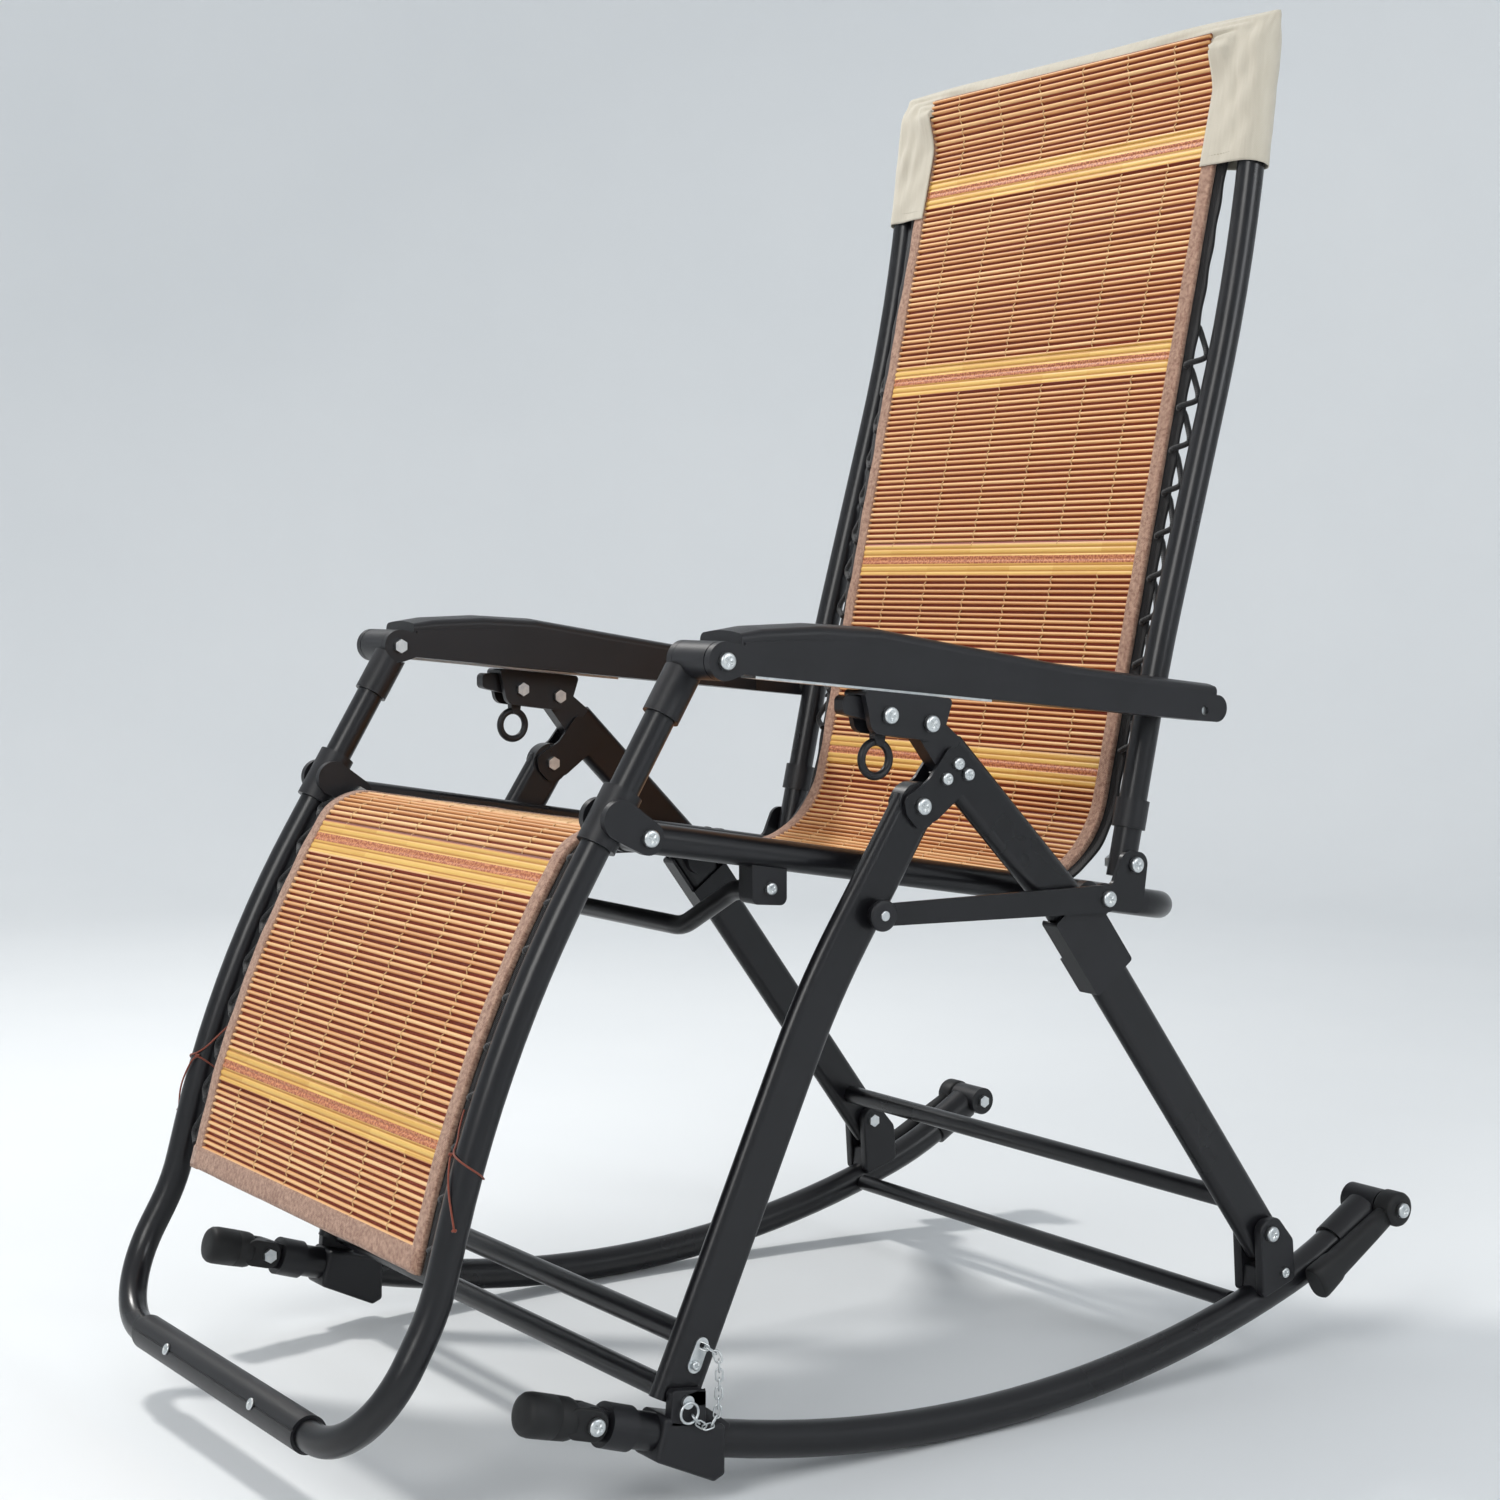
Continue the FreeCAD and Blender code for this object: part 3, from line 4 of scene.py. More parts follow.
import bmesh
import bpy
import numpy as np
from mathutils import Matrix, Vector

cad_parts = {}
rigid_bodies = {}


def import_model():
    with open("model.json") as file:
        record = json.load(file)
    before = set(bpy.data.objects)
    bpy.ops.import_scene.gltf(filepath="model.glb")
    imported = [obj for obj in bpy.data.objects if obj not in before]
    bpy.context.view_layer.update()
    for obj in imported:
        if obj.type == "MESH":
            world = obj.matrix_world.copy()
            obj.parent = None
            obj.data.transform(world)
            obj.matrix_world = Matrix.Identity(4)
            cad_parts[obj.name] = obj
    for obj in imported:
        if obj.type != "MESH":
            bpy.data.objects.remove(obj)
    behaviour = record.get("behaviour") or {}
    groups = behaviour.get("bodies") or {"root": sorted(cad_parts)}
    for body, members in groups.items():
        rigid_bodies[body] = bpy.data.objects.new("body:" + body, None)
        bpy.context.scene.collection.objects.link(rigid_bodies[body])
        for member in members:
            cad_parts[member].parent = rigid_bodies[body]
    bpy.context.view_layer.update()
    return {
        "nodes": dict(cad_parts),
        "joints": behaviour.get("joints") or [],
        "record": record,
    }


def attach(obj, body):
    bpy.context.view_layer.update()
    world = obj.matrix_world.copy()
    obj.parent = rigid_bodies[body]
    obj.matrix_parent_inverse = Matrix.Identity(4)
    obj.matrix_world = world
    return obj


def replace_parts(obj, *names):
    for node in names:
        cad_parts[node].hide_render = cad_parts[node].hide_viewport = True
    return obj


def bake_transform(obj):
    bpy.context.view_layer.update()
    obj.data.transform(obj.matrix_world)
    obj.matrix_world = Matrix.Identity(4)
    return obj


for thing in list(bpy.data.objects):  # start from an empty room
    bpy.data.objects.remove(thing)
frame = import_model()
pivot = {joint["name"]: np.array(joint["pos_m"][1:]) for joint in frame["joints"] if joint.get("pos_m")}


# shader sums

class Shade:  # one shader socket; sums on it add Math nodes
    def __init__(self, tree, socket):
        self.tree = tree
        self.socket = socket

    def node(self, kind, settings, sockets, out=0):  # any other node: its settings first, then its sockets
        made = self.tree.nodes.new("ShaderNode" + kind)
        for name, value in settings.items():
            if name == "stops":
                self.setStops(made.color_ramp, value)
            else:
                setattr(made, name, value)
        for name, value in sockets.items():
            self.join(value, made.inputs[name])
        return Shade(self.tree, made.outputs[out])

    def setStops(self, ramp, stops):
        while len(ramp.elements) < len(stops):
            ramp.elements.new(0.5)
        for element, (where, shade) in zip(ramp.elements, stops):
            element.position = where
            element.color = shade

    def join(self, value, target):
        if isinstance(value, Shade):
            self.tree.links.new(value.socket, target)
        else:
            target.default_value = value

    def math(self, operation, first, second=0.0):
        return self.node("Math", {"operation": operation}, {0: first, 1: second})

    def __add__(self, other):
        return self.math("ADD", self, other)

    def __radd__(self, other):
        return self.math("ADD", other, self)

    def __sub__(self, other):
        return self.math("SUBTRACT", self, other)

    def __rsub__(self, other):
        return self.math("SUBTRACT", other, self)

    def __mul__(self, other):
        return self.math("MULTIPLY", self, other)

    def __rmul__(self, other):
        return self.math("MULTIPLY", other, self)

    def __truediv__(self, other):
        return self.math("DIVIDE", self, other)

    def __lt__(self, other):
        return self.math("LESS_THAN", self, other)

    def __abs__(self):
        return self.math("ABSOLUTE", self)

    def fraction(self):
        return self.math("FRACT", self)

    def whole(self):
        return self.math("FLOOR", self)

    def least(self, other):
        return self.math("MINIMUM", self, other)

    def smooth(self, low, high):  # 0 below low, 1 above high, eased between them
        settings = {"interpolation_type": "SMOOTHSTEP"}
        return self.node("MapRange", settings, {"Value": self, "From Min": low, "From Max": high})

    def tint(self, first, second):  # this value goes from the first colour to the second
        return self.node("Mix", {"data_type": "RGBA"}, {0: self, 6: first, 7: second}, out=2)

    def noise(self, scale, detail=3.0, rough=0.55):
        sockets = {"Vector": self, "Scale": scale, "Detail": detail, "Roughness": rough}
        return self.node("TexNoise", {}, sockets)

    def spot(self, x, y, z=0.0):  # three values as one place
        return self.node("CombineXYZ", {}, {0: x, 1: y, 2: z})

    def chance(self):  # a steady random value for each whole number or place
        return self.node("TexWhiteNoise", {"noise_dimensions": "3D"}, {"Vector": self})


def colour(red, green, blue):  # a screen colour of 0 to 255 as linear light
    shares = np.array([red, green, blue]) / 255
    linear = np.where(shares <= 0.04045, shares / 12.92, ((shares + 0.055) / 1.055) ** 2.4)
    return (*linear.tolist(), 1.0)


def newFinish(name, **values):  # a material with its even values set on the shader's own sockets
    made = bpy.data.materials.new(name)
    made.use_nodes = True
    tree = made.node_tree
    shader = tree.nodes["Principled BSDF"]
    for key, value in values.items():
        shader.inputs[key.replace("_", " ")].default_value = value
    spot = Shade(tree, None).node("TexCoord", {}, {}, out="Object")
    return made, shader, spot


def reading(spot, name):  # a number kept on the mesh's points
    return spot.node("Attribute", {"attribute_name": name}, {}, out="Fac")


def dress(shader, spot, **sockets):
    for key, value in sockets.items():
        spot.join(value, shader.inputs[key.replace("_", " ")])


def raised(spot, height, strength, distance):
    return spot.node("Bump", {}, {"Height": height, "Strength": strength, "Distance": distance})


# finishes

grains = {  # a noise for tone and gloss with its two colours, and a finer noise for the relief
    "blackPaint": {  # satin powder coat: fine orange peel, a little dust in the gloss
        "even": {"Specular_IOR_Level": 0.4}, "tone": (9.0, 4.0), "dark": (13, 13, 15), "light": (23, 23, 27),
        "gloss": (0.23, 0.12), "fine": (900.0, 2.0), "relief": (0.1, 0.0004)},
    "blackPlastic": {  # moulded nylon with a fine spark grain
        "even": {"Specular_IOR_Level": 0.36}, "tone": (14.0, 4.0),
        "dark": (18, 18, 20), "light": (30, 30, 34),
        "gloss": (0.34, 0.14), "fine": (2600.0, 2.0), "relief": (0.22, 0.0004)},
    "stopperRubber": {  # lightly scuffed
        "even": {"Specular_IOR_Level": 0.34}, "tone": (40.0, 5.0, 0.7),
        "dark": (15, 15, 16), "light": (30, 30, 31),
        "gloss": (0.46, 0.2), "fine": (1500.0, 3.0), "relief": (0.2, 0.0005)},
    "zincPlate": {  # bright plated steel, clouded, with fine turning marks
        "even": {"Metallic": 1.0}, "tone": (220.0, 4.0), "dark": (176, 184, 190), "light": (230, 231, 228),
        "gloss": (0.22, 0.24), "fine": (4000.0, 2.0), "relief": (0.1, 0.0002)},
    "tieString": {  # twisted red-brown thread
        "even": {"Sheen_Weight": 0.2}, "tone": (1400.0, 3.0), "dark": (84, 30, 18), "light": (150, 72, 48),
        "gloss": (0.7, 0.2), "fine": (1400.0, 3.0), "relief": (0.5, 0.0005)},
    "warpThread": {  # pale cotton thread between the slats
        "even": {"Sheen_Weight": 0.2}, "tone": (1800.0, 3.0),
        "dark": (188, 142, 94), "light": (230, 194, 144),
        "gloss": (0.72, 0.2), "fine": (1800.0, 3.0), "relief": (0.4, 0.0004)},
}


def grained(name):
    grain = grains[name]
    made, shader, spot = newFinish(name, **grain["even"])
    tone = spot.noise(*grain["tone"])
    fine = spot.noise(*grain["fine"])
    gloss, spread = grain["gloss"]
    dress(shader, spot, Base_Color=tone.tint(colour(*grain["dark"]), colour(*grain["light"])),
          Roughness=gloss + spread * tone, Normal=raised(spot, fine, *grain["relief"]))
    return made


weave = {"sling": 0.0013, "binding": 0.0011, "cotton": 0.0007, "braid": 0.0022}  # pitches
stitches = {"binding": (0.0042, 0.62), "cotton": (0.0036, 0.6), "half": 0.0006}  # pitch and thread's share


def plainWeave(across, along, pitch):  # over and under: the product of two waves, 0 to 1
    first = across.math("SINE", across * (math.pi / pitch))
    second = along.math("SINE", along * (math.pi / pitch))
    return first * second * 0.5 + 0.5


def stitching(spot, way, kind):  # 1 on a seam's thread, 0 off it
    pitch, share = stitches[kind]
    return ((way / pitch).fraction() < share) * (reading(spot, "seam") < stitches["half"])


def slingCloth():
    made, shader, spot = newFinish("slingCloth", Sheen_Weight=0.25, Specular_IOR_Level=0.3)
    knit = plainWeave(reading(spot, "across"), reading(spot, "along"), weave["sling"])
    dress(shader, spot, Base_Color=knit.tint(colour(5, 5, 6), colour(18, 18, 20)),
          Roughness=0.62 + 0.2 * knit, Normal=raised(spot, knit, 0.6, 0.0006))
    return made


def laceCord():  # braided elastic: slanting ribs
    made, shader, spot = newFinish("laceCord", Sheen_Weight=0.2)
    braid = reading(spot, "along") / weave["braid"] + reading(spot, "across")
    ribs = abs(braid.fraction() - 0.5) * 2.0
    dress(shader, spot, Base_Color=ribs.tint(colour(18, 18, 20), colour(7, 7, 8)),
          Roughness=0.55 + 0.2 * ribs, Normal=raised(spot, ribs, 0.5, 0.0006))
    return made


def bindingCloth():  # pink-brown cotton tape, flecked, sewn near its inner edge
    made, shader, spot = newFinish("bindingCloth", Sheen_Weight=0.2, Specular_IOR_Level=0.25)
    along = reading(spot, "along")
    knit = plainWeave(reading(spot, "across"), along, weave["binding"])
    fleck = spot.noise(260.0, 4.0, 0.8)
    worn = spot.noise(30.0, 3.0)
    base = (fleck.smooth(0.3, 0.7) * 0.8 + knit * 0.2).tint(colour(112, 76, 62), colour(196, 162, 140))
    base = (worn * 0.3).tint(base, colour(160, 122, 104))
    stitch = stitching(spot, along, "binding")
    dress(shader, spot, Base_Color=stitch.tint(base, colour(122, 86, 70)), Roughness=0.8 + 0.12 * fleck,
          Normal=raised(spot, knit - stitch * 1.5, 0.5, 0.0005))
    return made


def cottonCloth():  # unbleached calico
    made, shader, spot = newFinish("cottonCloth", Sheen_Weight=0.3, Specular_IOR_Level=0.2)
    across = reading(spot, "across")
    along = reading(spot, "along")
    knit = plainWeave(across, along, weave["cotton"])
    slub = spot.spot(across * 300.0, along * 30.0).noise(1.0, 3.0)
    cloud = spot.noise(26.0, 4.0)
    base = (knit * 0.35 + slub * 0.65).tint(colour(176, 168, 151), colour(212, 206, 192))
    base = (cloud * 0.4).tint(base, colour(192, 183, 166))
    stitch = stitching(spot, across, "cotton")
    dress(shader, spot, Base_Color=stitch.tint(base, colour(160, 151, 132)), Roughness=0.82 + 0.1 * slub,
          Normal=raised(spot, knit - stitch * 1.5, 0.4, 0.0004))
    return made


def studioPaper():
    made, shader, spot = newFinish("studioPaper", Specular_IOR_Level=0.2)
    cloud = spot.noise(1.5, 3.0)
    dress(shader, spot, Base_Color=cloud.tint(colour(228, 231, 233), colour(236, 238, 239)),
          Roughness=0.5 + 0.1 * cloud)
    return made


# shapes

bothSides = ((1, "Left"), (-1, "Right"))
fineStep = 0.0008  # between the points of small outlines


def unit(way):
    return way / np.linalg.norm(way)


def circle(count):  # angles of evenly spaced points
    return np.linspace(0, 2 * math.pi, count, endpoint=False)


def lengthAlong(line):  # how far along a line each of its points lies
    return np.concatenate([[0], np.cumsum(np.linalg.norm(np.diff(line, axis=0), axis=1))])


def lean(degrees):  # one metre in the side view, leaning back from straight up
    turn = math.radians(degrees)
    return np.array([math.sin(turn), math.cos(turn)])


def crossing(first, firstWay, second, secondWay):  # where two side-view lines meet
    steps = np.linalg.solve(np.column_stack([firstWay, -secondWay]), second - first)
    return first + firstWay * steps[0]


def roundedPath(corners, radii, step=0.0015):
    # straight runs joined by circles: a corner is cut back by radius / tan(half its angle)
    # gives the points, how far along each lies, and how far along each corner's middle lies
    runs = [corners[0][None]]
    middles = []
    for before, corner, after, radius in zip(corners, corners[1:], corners[2:], radii):
        back = unit(before - corner)
        on = unit(after - corner)
        half = math.acos(back @ on) / 2
        centre = corner + unit(back + on) * radius / math.sin(half)
        first = corner + back * radius / math.tan(half) - centre
        sweep = math.pi - 2 * half
        side = math.copysign(1.0, back[1] * on[0] - back[0] * on[1])
        turns = np.linspace(0, sweep, max(4, int(sweep * radius / step) // 2 * 2 + 1)) * side
        arc = centre + np.column_stack([first[0] * np.cos(turns) - first[1] * np.sin(turns),
                                        first[0] * np.sin(turns) + first[1] * np.cos(turns)])
        start = runs[-1][-1]
        count = max(2, int(np.linalg.norm(arc[0] - start) / step))
        runs += [start + (arc[0] - start) * np.linspace(0, 1, count)[1:, None], arc[1:]]
        middles.append(sum(len(run) for run in runs) - len(arc) // 2 - 1)
    count = max(2, int(np.linalg.norm(corners[-1] - runs[-1][-1]) / step))
    runs.append(runs[-1][-1] + (corners[-1] - runs[-1][-1]) * np.linspace(0, 1, count)[1:, None])
    points = np.concatenate(runs)
    along = lengthAlong(points)
    return points, along, along[middles]


def gridMesh(name, points, ringed=True, capped=(True, True), looped=False, readings=None):
    # quads between neighbours of a rows x columns grid; ringed joins its sides, looped its first and last
    # row, capped closes its first and last row with one face each
    rows, columns = points.shape[:2]
    index = np.arange(rows * columns).reshape(rows, columns)
    if looped:
        index = np.concatenate([index, index[:1]])
    left = index if ringed else index[:, :-1]
    right = np.roll(index, -1, axis=1) if ringed else index[:, 1:]
    quads = np.stack([left[:-1], right[:-1], right[1:], left[1:]], axis=-1).reshape(-1, 4)
    ends = (index[0, ::-1].tolist(), index[-1].tolist())
    caps = [end for end, closed in zip(ends, capped) if closed and not looped]
    mesh = bpy.data.meshes.new(name)
    mesh.from_pydata(points.reshape(-1, 3).tolist(), [], quads.tolist() + caps)
    smooth = np.arange(len(mesh.polygons)) < len(quads)  # end faces stay flat
    mesh.polygons.foreach_set("use_smooth", smooth)
    for key, value in (readings or {}).items():
        kept = mesh.attributes.new(key, "FLOAT", "POINT")
        kept.data.foreach_set("value", np.broadcast_to(value, (rows, columns)).astype(np.float32).ravel())
    return mesh


def outward(mesh):  # a closed mesh with its faces turned out
    held = bmesh.new()
    held.from_mesh(mesh)
    bmesh.ops.recalc_face_normals(held, faces=held.faces)
    held.to_mesh(mesh)
    held.free()
    return mesh


def setOut(mesh, finish):
    piece = bpy.data.objects.new(mesh.name, mesh)
    bpy.context.scene.collection.objects.link(piece)
    mesh.materials.append(finish)
    return piece


def mount(mesh, finish, body):  # a piece that rides on one body
    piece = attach(setOut(mesh, finish), body)
    return piece


def joined(name, meshes):  # several meshes as one
    held = bmesh.new()
    for mesh in meshes:
        held.from_mesh(mesh)
        bpy.data.meshes.remove(mesh)
    whole = bpy.data.meshes.new(name)
    held.to_mesh(whole)
    held.free()
    return whole


def eased(points, steps):
    # a smooth line through points: cubic pieces whose slope is half the step between neighbours
    padded = np.concatenate([2 * points[:1] - points[1:2], points, 2 * points[-1:] - points[-2:-1]])
    t = np.linspace(0, 1, steps, endpoint=False)[None, :, None]
    a, b, c, d = (padded[i:len(padded) - 3 + i, None, :] for i in range(4))
    line = 2 * b + (c - a) * t + (2 * a - 5 * b + 4 * c - d) * t ** 2 + (3 * b - a - 3 * c + d) * t ** 3
    line = 0.5 * line
    return np.concatenate([line.reshape(-1, 3), points[-1:]])


def tubeMesh(name, line, radius, around, axis, looped=False):
    # a circle carried along a line; it is turned by the line's slope and a fixed axis
    slope = np.roll(line, -1, axis=0) - np.roll(line, 1, axis=0) if looped else np.gradient(line, axis=0)
    slope /= np.linalg.norm(slope, axis=1)[:, None]
    first = np.cross(slope, axis)
    first /= np.linalg.norm(first, axis=1)[:, None]
    second = np.cross(slope, first)
    turns = circle(around)
    ring = first[:, None] * np.cos(turns)[None, :, None] + second[:, None] * np.sin(turns)[None, :, None]
    along = lengthAlong(line)
    readings = {"along": along[:, None], "across": turns[None] / (2 * math.pi)}
    return outward(gridMesh(name, line[:, None] + ring * radius, looped=looped, readings=readings))


# the photograph's camera

shot = {"place": (1.9581, -1.3349, 0.7227), "azimuth": 55.556, "pitch": 3.783, "lens": 61.76, "sensor": 36.0}


def aimed(name, data, place, way):  # a camera or lamp that looks one way
    holder = bpy.data.objects.new(name, data)
    holder.location = place
    holder.rotation_mode = "QUATERNION"
    holder.rotation_quaternion = way.to_track_quat("-Z", "Y")
    bpy.context.scene.collection.objects.link(holder)
    return holder


azimuth = math.radians(shot["azimuth"])
dip = math.radians(shot["pitch"])
gaze = Vector((-math.sin(azimuth) * math.cos(dip), math.cos(azimuth) * math.cos(dip), -math.sin(dip)))
lens = bpy.data.cameras.new("photoCamera")
lens.lens = shot["lens"]
lens.sensor_width = shot["sensor"]
bpy.context.scene.camera = aimed("photoCamera", lens, shot["place"], gaze)
print("camera: lens", shot["lens"], "mm")

# side view of the seat, back and foot: places in metres, leans in degrees, from the part's own sizes

sideView = {
    "backLean": 12.4, "shinLean": 31.2, "footLean": 15.0,
    "shinEnd": (-0.4034, 0.36676), "ankle": (-0.45512, 0.17377),
    "backTop": 0.772, "seatTurn": 0.095, "kneeTurn": 0.045, "footTurn": 1.0, "footStop": 0.02,
    "seatCorner": 0.0659, "railHalf": 0.256, "tubeRadius": 0.0125,
    # the back tube's axis: how far up the back, and how far in front of the mat's line
    "bow": [(-0.0125, 0.0), (0.19, 0.0), (0.547, -0.02), (0.772, 0.0)], "bowTurn": 1.6,
    "headLift": 0.0166, "headStart": 0.055, "headEnd": 0.006,  # the mat's head climbs over the top tube
    "backBend": 0.075, "kneeBend": 0.045,  # how far each way from the middle of a bend two places on the line are found
}
backPivot = pivot["recline"]
footPivot = pivot["footrest_lift"]
seatPivot = pivot["seat_tilt"]
backUp = lean(sideView["backLean"])
backFront = np.array([-backUp[1], backUp[0]])
seatWay = unit(footPivot - seatPivot)
shinUp = lean(sideView["shinLean"])
footUp = lean(sideView["footLean"])
kneeCorner = crossing(seatPivot, seatWay, np.array(sideView["shinEnd"]), shinUp)
spineCorners = [
    backPivot + backUp * sideView["backTop"], seatPivot - seatWay * sideView["seatCorner"], kneeCorner,
    np.array(sideView["shinEnd"]), np.array(sideView["ankle"]) + footUp * sideView["footStop"],
]
spine, spineAlong, spineBends = roundedPath(
    spineCorners, [sideView["seatTurn"], sideView["kneeTurn"], sideView["footTurn"]])
spineWay = np.gradient(spine, spineAlong, axis=0)
spineWay /= np.linalg.norm(spineWay, axis=1)[:, None]
spineUp = np.column_stack([spineWay[:, 1], -spineWay[:, 0]])
spineLong = spineAlong[-1]
seatMiddle = (spineBends[0] + spineBends[1]) / 2
bowLine = roundedPath([np.array(corner) for corner in sideView["bow"]], [sideView["bowTurn"]] * 2)[0]


def headLift(along):  # eased from the line up to the lift over the top tube
    share = np.clip((sideView["headStart"] - along) / (sideView["headStart"] - sideView["headEnd"]), 0, 1)
    return sideView["headLift"] * share * share * (3 - 2 * share)


def onSpine(along, across, height):
    # a place on the seat's line: `along` down from the top, `across` to the side, `height` off the line
    height = height + headLift(along)
    base = [np.interp(along, spineAlong, spine[:, i]) for i in (0, 1)]
    rise = [np.interp(along, spineAlong, spineUp[:, i]) for i in (0, 1)]
    y, z = (base[i] + rise[i] * height for i in (0, 1))
    return np.stack(np.broadcast_arrays(across, y, z), axis=-1)


def onBack(across, up, height):
    # a place on the back: `up` from its pivot, `height` in front of the mat's line
    return np.stack([across, backPivot[0] + backUp[0] * up + backFront[0] * height,
                     backPivot[1] + backUp[1] * up + backFront[1] * height], axis=-1)


def backTube(up):  # how far the back tube's axis lies in front of the mat's line
    return np.interp(up, bowLine[:, 0], bowLine[:, 1])


def alongOf(y, z):  # how far along the line a side-view place lies
    return spineAlong[np.argmin(np.linalg.norm(spine - np.array([y, z]), axis=1))]


def bendWith(piece, name):  # finds the middle of the back's bend for upper pieces and of the knee's bend for lower ones, and bakes the piece's place into its mesh
    if name == "upper":
        body, middle, reach = "backrest", spineBends[0], -sideView["backBend"]
    else:
        body, middle, reach = "footrest", spineBends[1], sideView["kneeBend"]
    start, end = (onSpine(middle + reach * way, 0.0, 0.0).tolist() for way in (-1, 1))
    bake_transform(piece)


# bamboo mat: round slats on threads, with bands of dyed slats laid close

mat = {
    "half": 0.2195, "low": -0.0017, "high": 0.0033, "pitch": 0.0058, "gapDeep": 0.0027,
    "columns": 25, "underStep": 4,  # the underside keeps each fourth column
    "bandHalf": 0.0148, "bandCore": 0.0038, "bandFill": 0.8, "wander": 0.0003, "uneven": 0.0002,
    "bands": [(0.3718, 1.129), (0.3328, 0.93), (0.2868, 0.744), (0.2398, 0.55), (-0.3222, 0.4815),
              (-0.4272, 0.289)],
    "headHalf": 0.2045, "headLong": 0.018,  # narrower between the hood's corners
    "threadStep": 0.064, "threadRadius": 0.00062, "threadEnd": 0.004,
    "threadRise": 0.0011, "threadSink": 0.0019,
    # one slat: share of the pitch, and share of the height over the gap's floor
    "slat": [(0.0, 0.0), (0.2, 0.0), (0.222, 0.46), (0.28, 0.75), (0.37, 0.93), (0.5, 1.0), (0.63, 0.93),
             (0.72, 0.75), (0.778, 0.46), (0.8, 0.0)],
}
halves = {"upper": (0.0, seatMiddle), "lower": (seatMiddle, spineLong)}
bandPlaces = [alongOf(*band) for band in mat["bands"]]


def bambooSlats():
    made, shader, spot = newFinish("bambooSlats", Specular_IOR_Level=0.4, Coat_Roughness=0.35)
    across = reading(spot, "across")
    along = reading(spot, "along")
    slat = along / mat["pitch"]
    spread = abs(slat.fraction() - 0.5)  # 0 on a slat's crown, 0.5 in the gap
    cell = across / mat["threadStep"] + 0.5
    chance = spot.spot(slat.whole(), 0.5).chance()
    patch = spot.spot(slat.whole(), cell.whole(), 3.5).chance()
    fibre = spot.spot(across * 22.0, along * 1500.0, chance * 40.0).noise(1.0, 4.0, 0.65)
    streak = spot.spot(across * 5.0, slat.whole() * 7.3).noise(1.0, 2.0)
    tone = fibre * 0.3 + chance * 0.35 + streak * 0.25 + patch * 0.1
    cane = tone.node("ValToRGB", {"stops": [
        (0.15, colour(170, 98, 48)), (0.4, colour(206, 142, 84)), (0.62, colour(226, 174, 116)),
        (0.88, colour(242, 208, 156))]}, {"Fac": tone})
    # painted highlight: a pale line along each slat's rounded crown, where the light falls on it
    paintedCrestHighlight = 1 - spread.smooth(0.02, 0.2)
    cane = (paintedCrestHighlight * 0.35).tint(cane, colour(246, 212, 160))
    # painted shade: a dark red-brown for the gaps between the slats, where the slats' sides lie in shadow
    paintedGapShade = (fibre * 0.5 + chance * 0.5).tint(colour(88, 20, 4), colour(142, 50, 16))
    gold = (fibre * 0.6 + patch * 0.4).tint(colour(204, 150, 62), colour(236, 198, 112))
    speck = spot.spot(across * 420.0, along * 420.0).noise(1.0, 2.0)
    rose = speck.smooth(0.4, 0.6).tint(colour(158, 84, 52), colour(206, 136, 90))
    away = abs(along - bandPlaces[0])
    for band in bandPlaces[1:]:
        away = away.least(abs(along - band))
    inBand = away < mat["bandHalf"]
    # the painted gap shade goes on the gaps between slats outside the bands
    edge = spread.smooth(0.25, 0.32) * (1 - inBand)
    base = edge.tint(cane, paintedGapShade)
    band = spread.smooth(0.3, 0.46).tint(gold, colour(178, 120, 44))
    band = (away < mat["bandCore"]).tint(band, rose)
    base = inBand.tint(base, band)
    dress(shader, spot, Base_Color=base, Roughness=0.42 + 0.25 * fibre, Coat_Weight=0.25 * (1 - edge),
          Normal=raised(spot, fibre * 0.4, 0.5, 0.0005))
    return made


def inBands(along):  # 1 on a band, 0 off it
    return (np.abs(along[..., None] - np.array(bandPlaces)).min(axis=-1) < mat["bandHalf"]).astype(float)


def slatRows(start, stop):
    # slat by slat: a gap floor, two steep sides and a round crown, each slat a little higher or lower
    shares, heights = np.array(mat["slat"]).T
    count = int(round((stop - start) / mat["pitch"]))
    first = int(round(start / mat["pitch"]))
    slats = np.arange(first, first + count)
    along = (slats[:, None] + shares[None]) * mat["pitch"]
    filled = mat["bandFill"] * inBands((slats[:, None] + 0.5 * np.ones(len(shares))) * mat["pitch"])
    uneven = mat["uneven"] * np.sin(slats * 12.9898)[:, None] * (heights > 0)[None]
    rise = mat["high"] - mat["gapDeep"] * (1 - heights)[None] * (1 - filled) + uneven
    end = np.array([along.max() + shares[1] * mat["pitch"]])
    return np.concatenate([along.ravel(), end]), np.concatenate([rise.ravel(), rise[-1, :1]])


def matMesh(name, start, stop):
    # a closed strip: the slats' line on top, a flat underside, carried down the seat's line;
    # each slat wanders a little along its length
    along, rise = slatRows(start, stop)
    across = np.linspace(-mat["half"], mat["half"], mat["columns"])
    number = np.floor(along / mat["pitch"] + 0.001)[:, None]
    wander = mat["wander"] * np.sin(number * 7.7 + across[None] * 14.0) * np.sin(number * 3.1)
    wander *= 1 - inBands(along)[:, None]
    wander[[0, -1]] = 0
    narrow = np.where(along < mat["headLong"], mat["headHalf"] / mat["half"], 1.0)[:, None]
    below = across[::-mat["underStep"]]
    over = onSpine(along[:, None] + wander, across[None] * narrow, rise[:, None])
    under = onSpine(along[:, None], below[None] * narrow, np.full((len(along), 1), mat["low"]))
    readings = {"along": along[:, None], "across": np.concatenate([across, below])[None]}
    return outward(gridMesh(name, np.concatenate([over, under], axis=1), readings=readings))


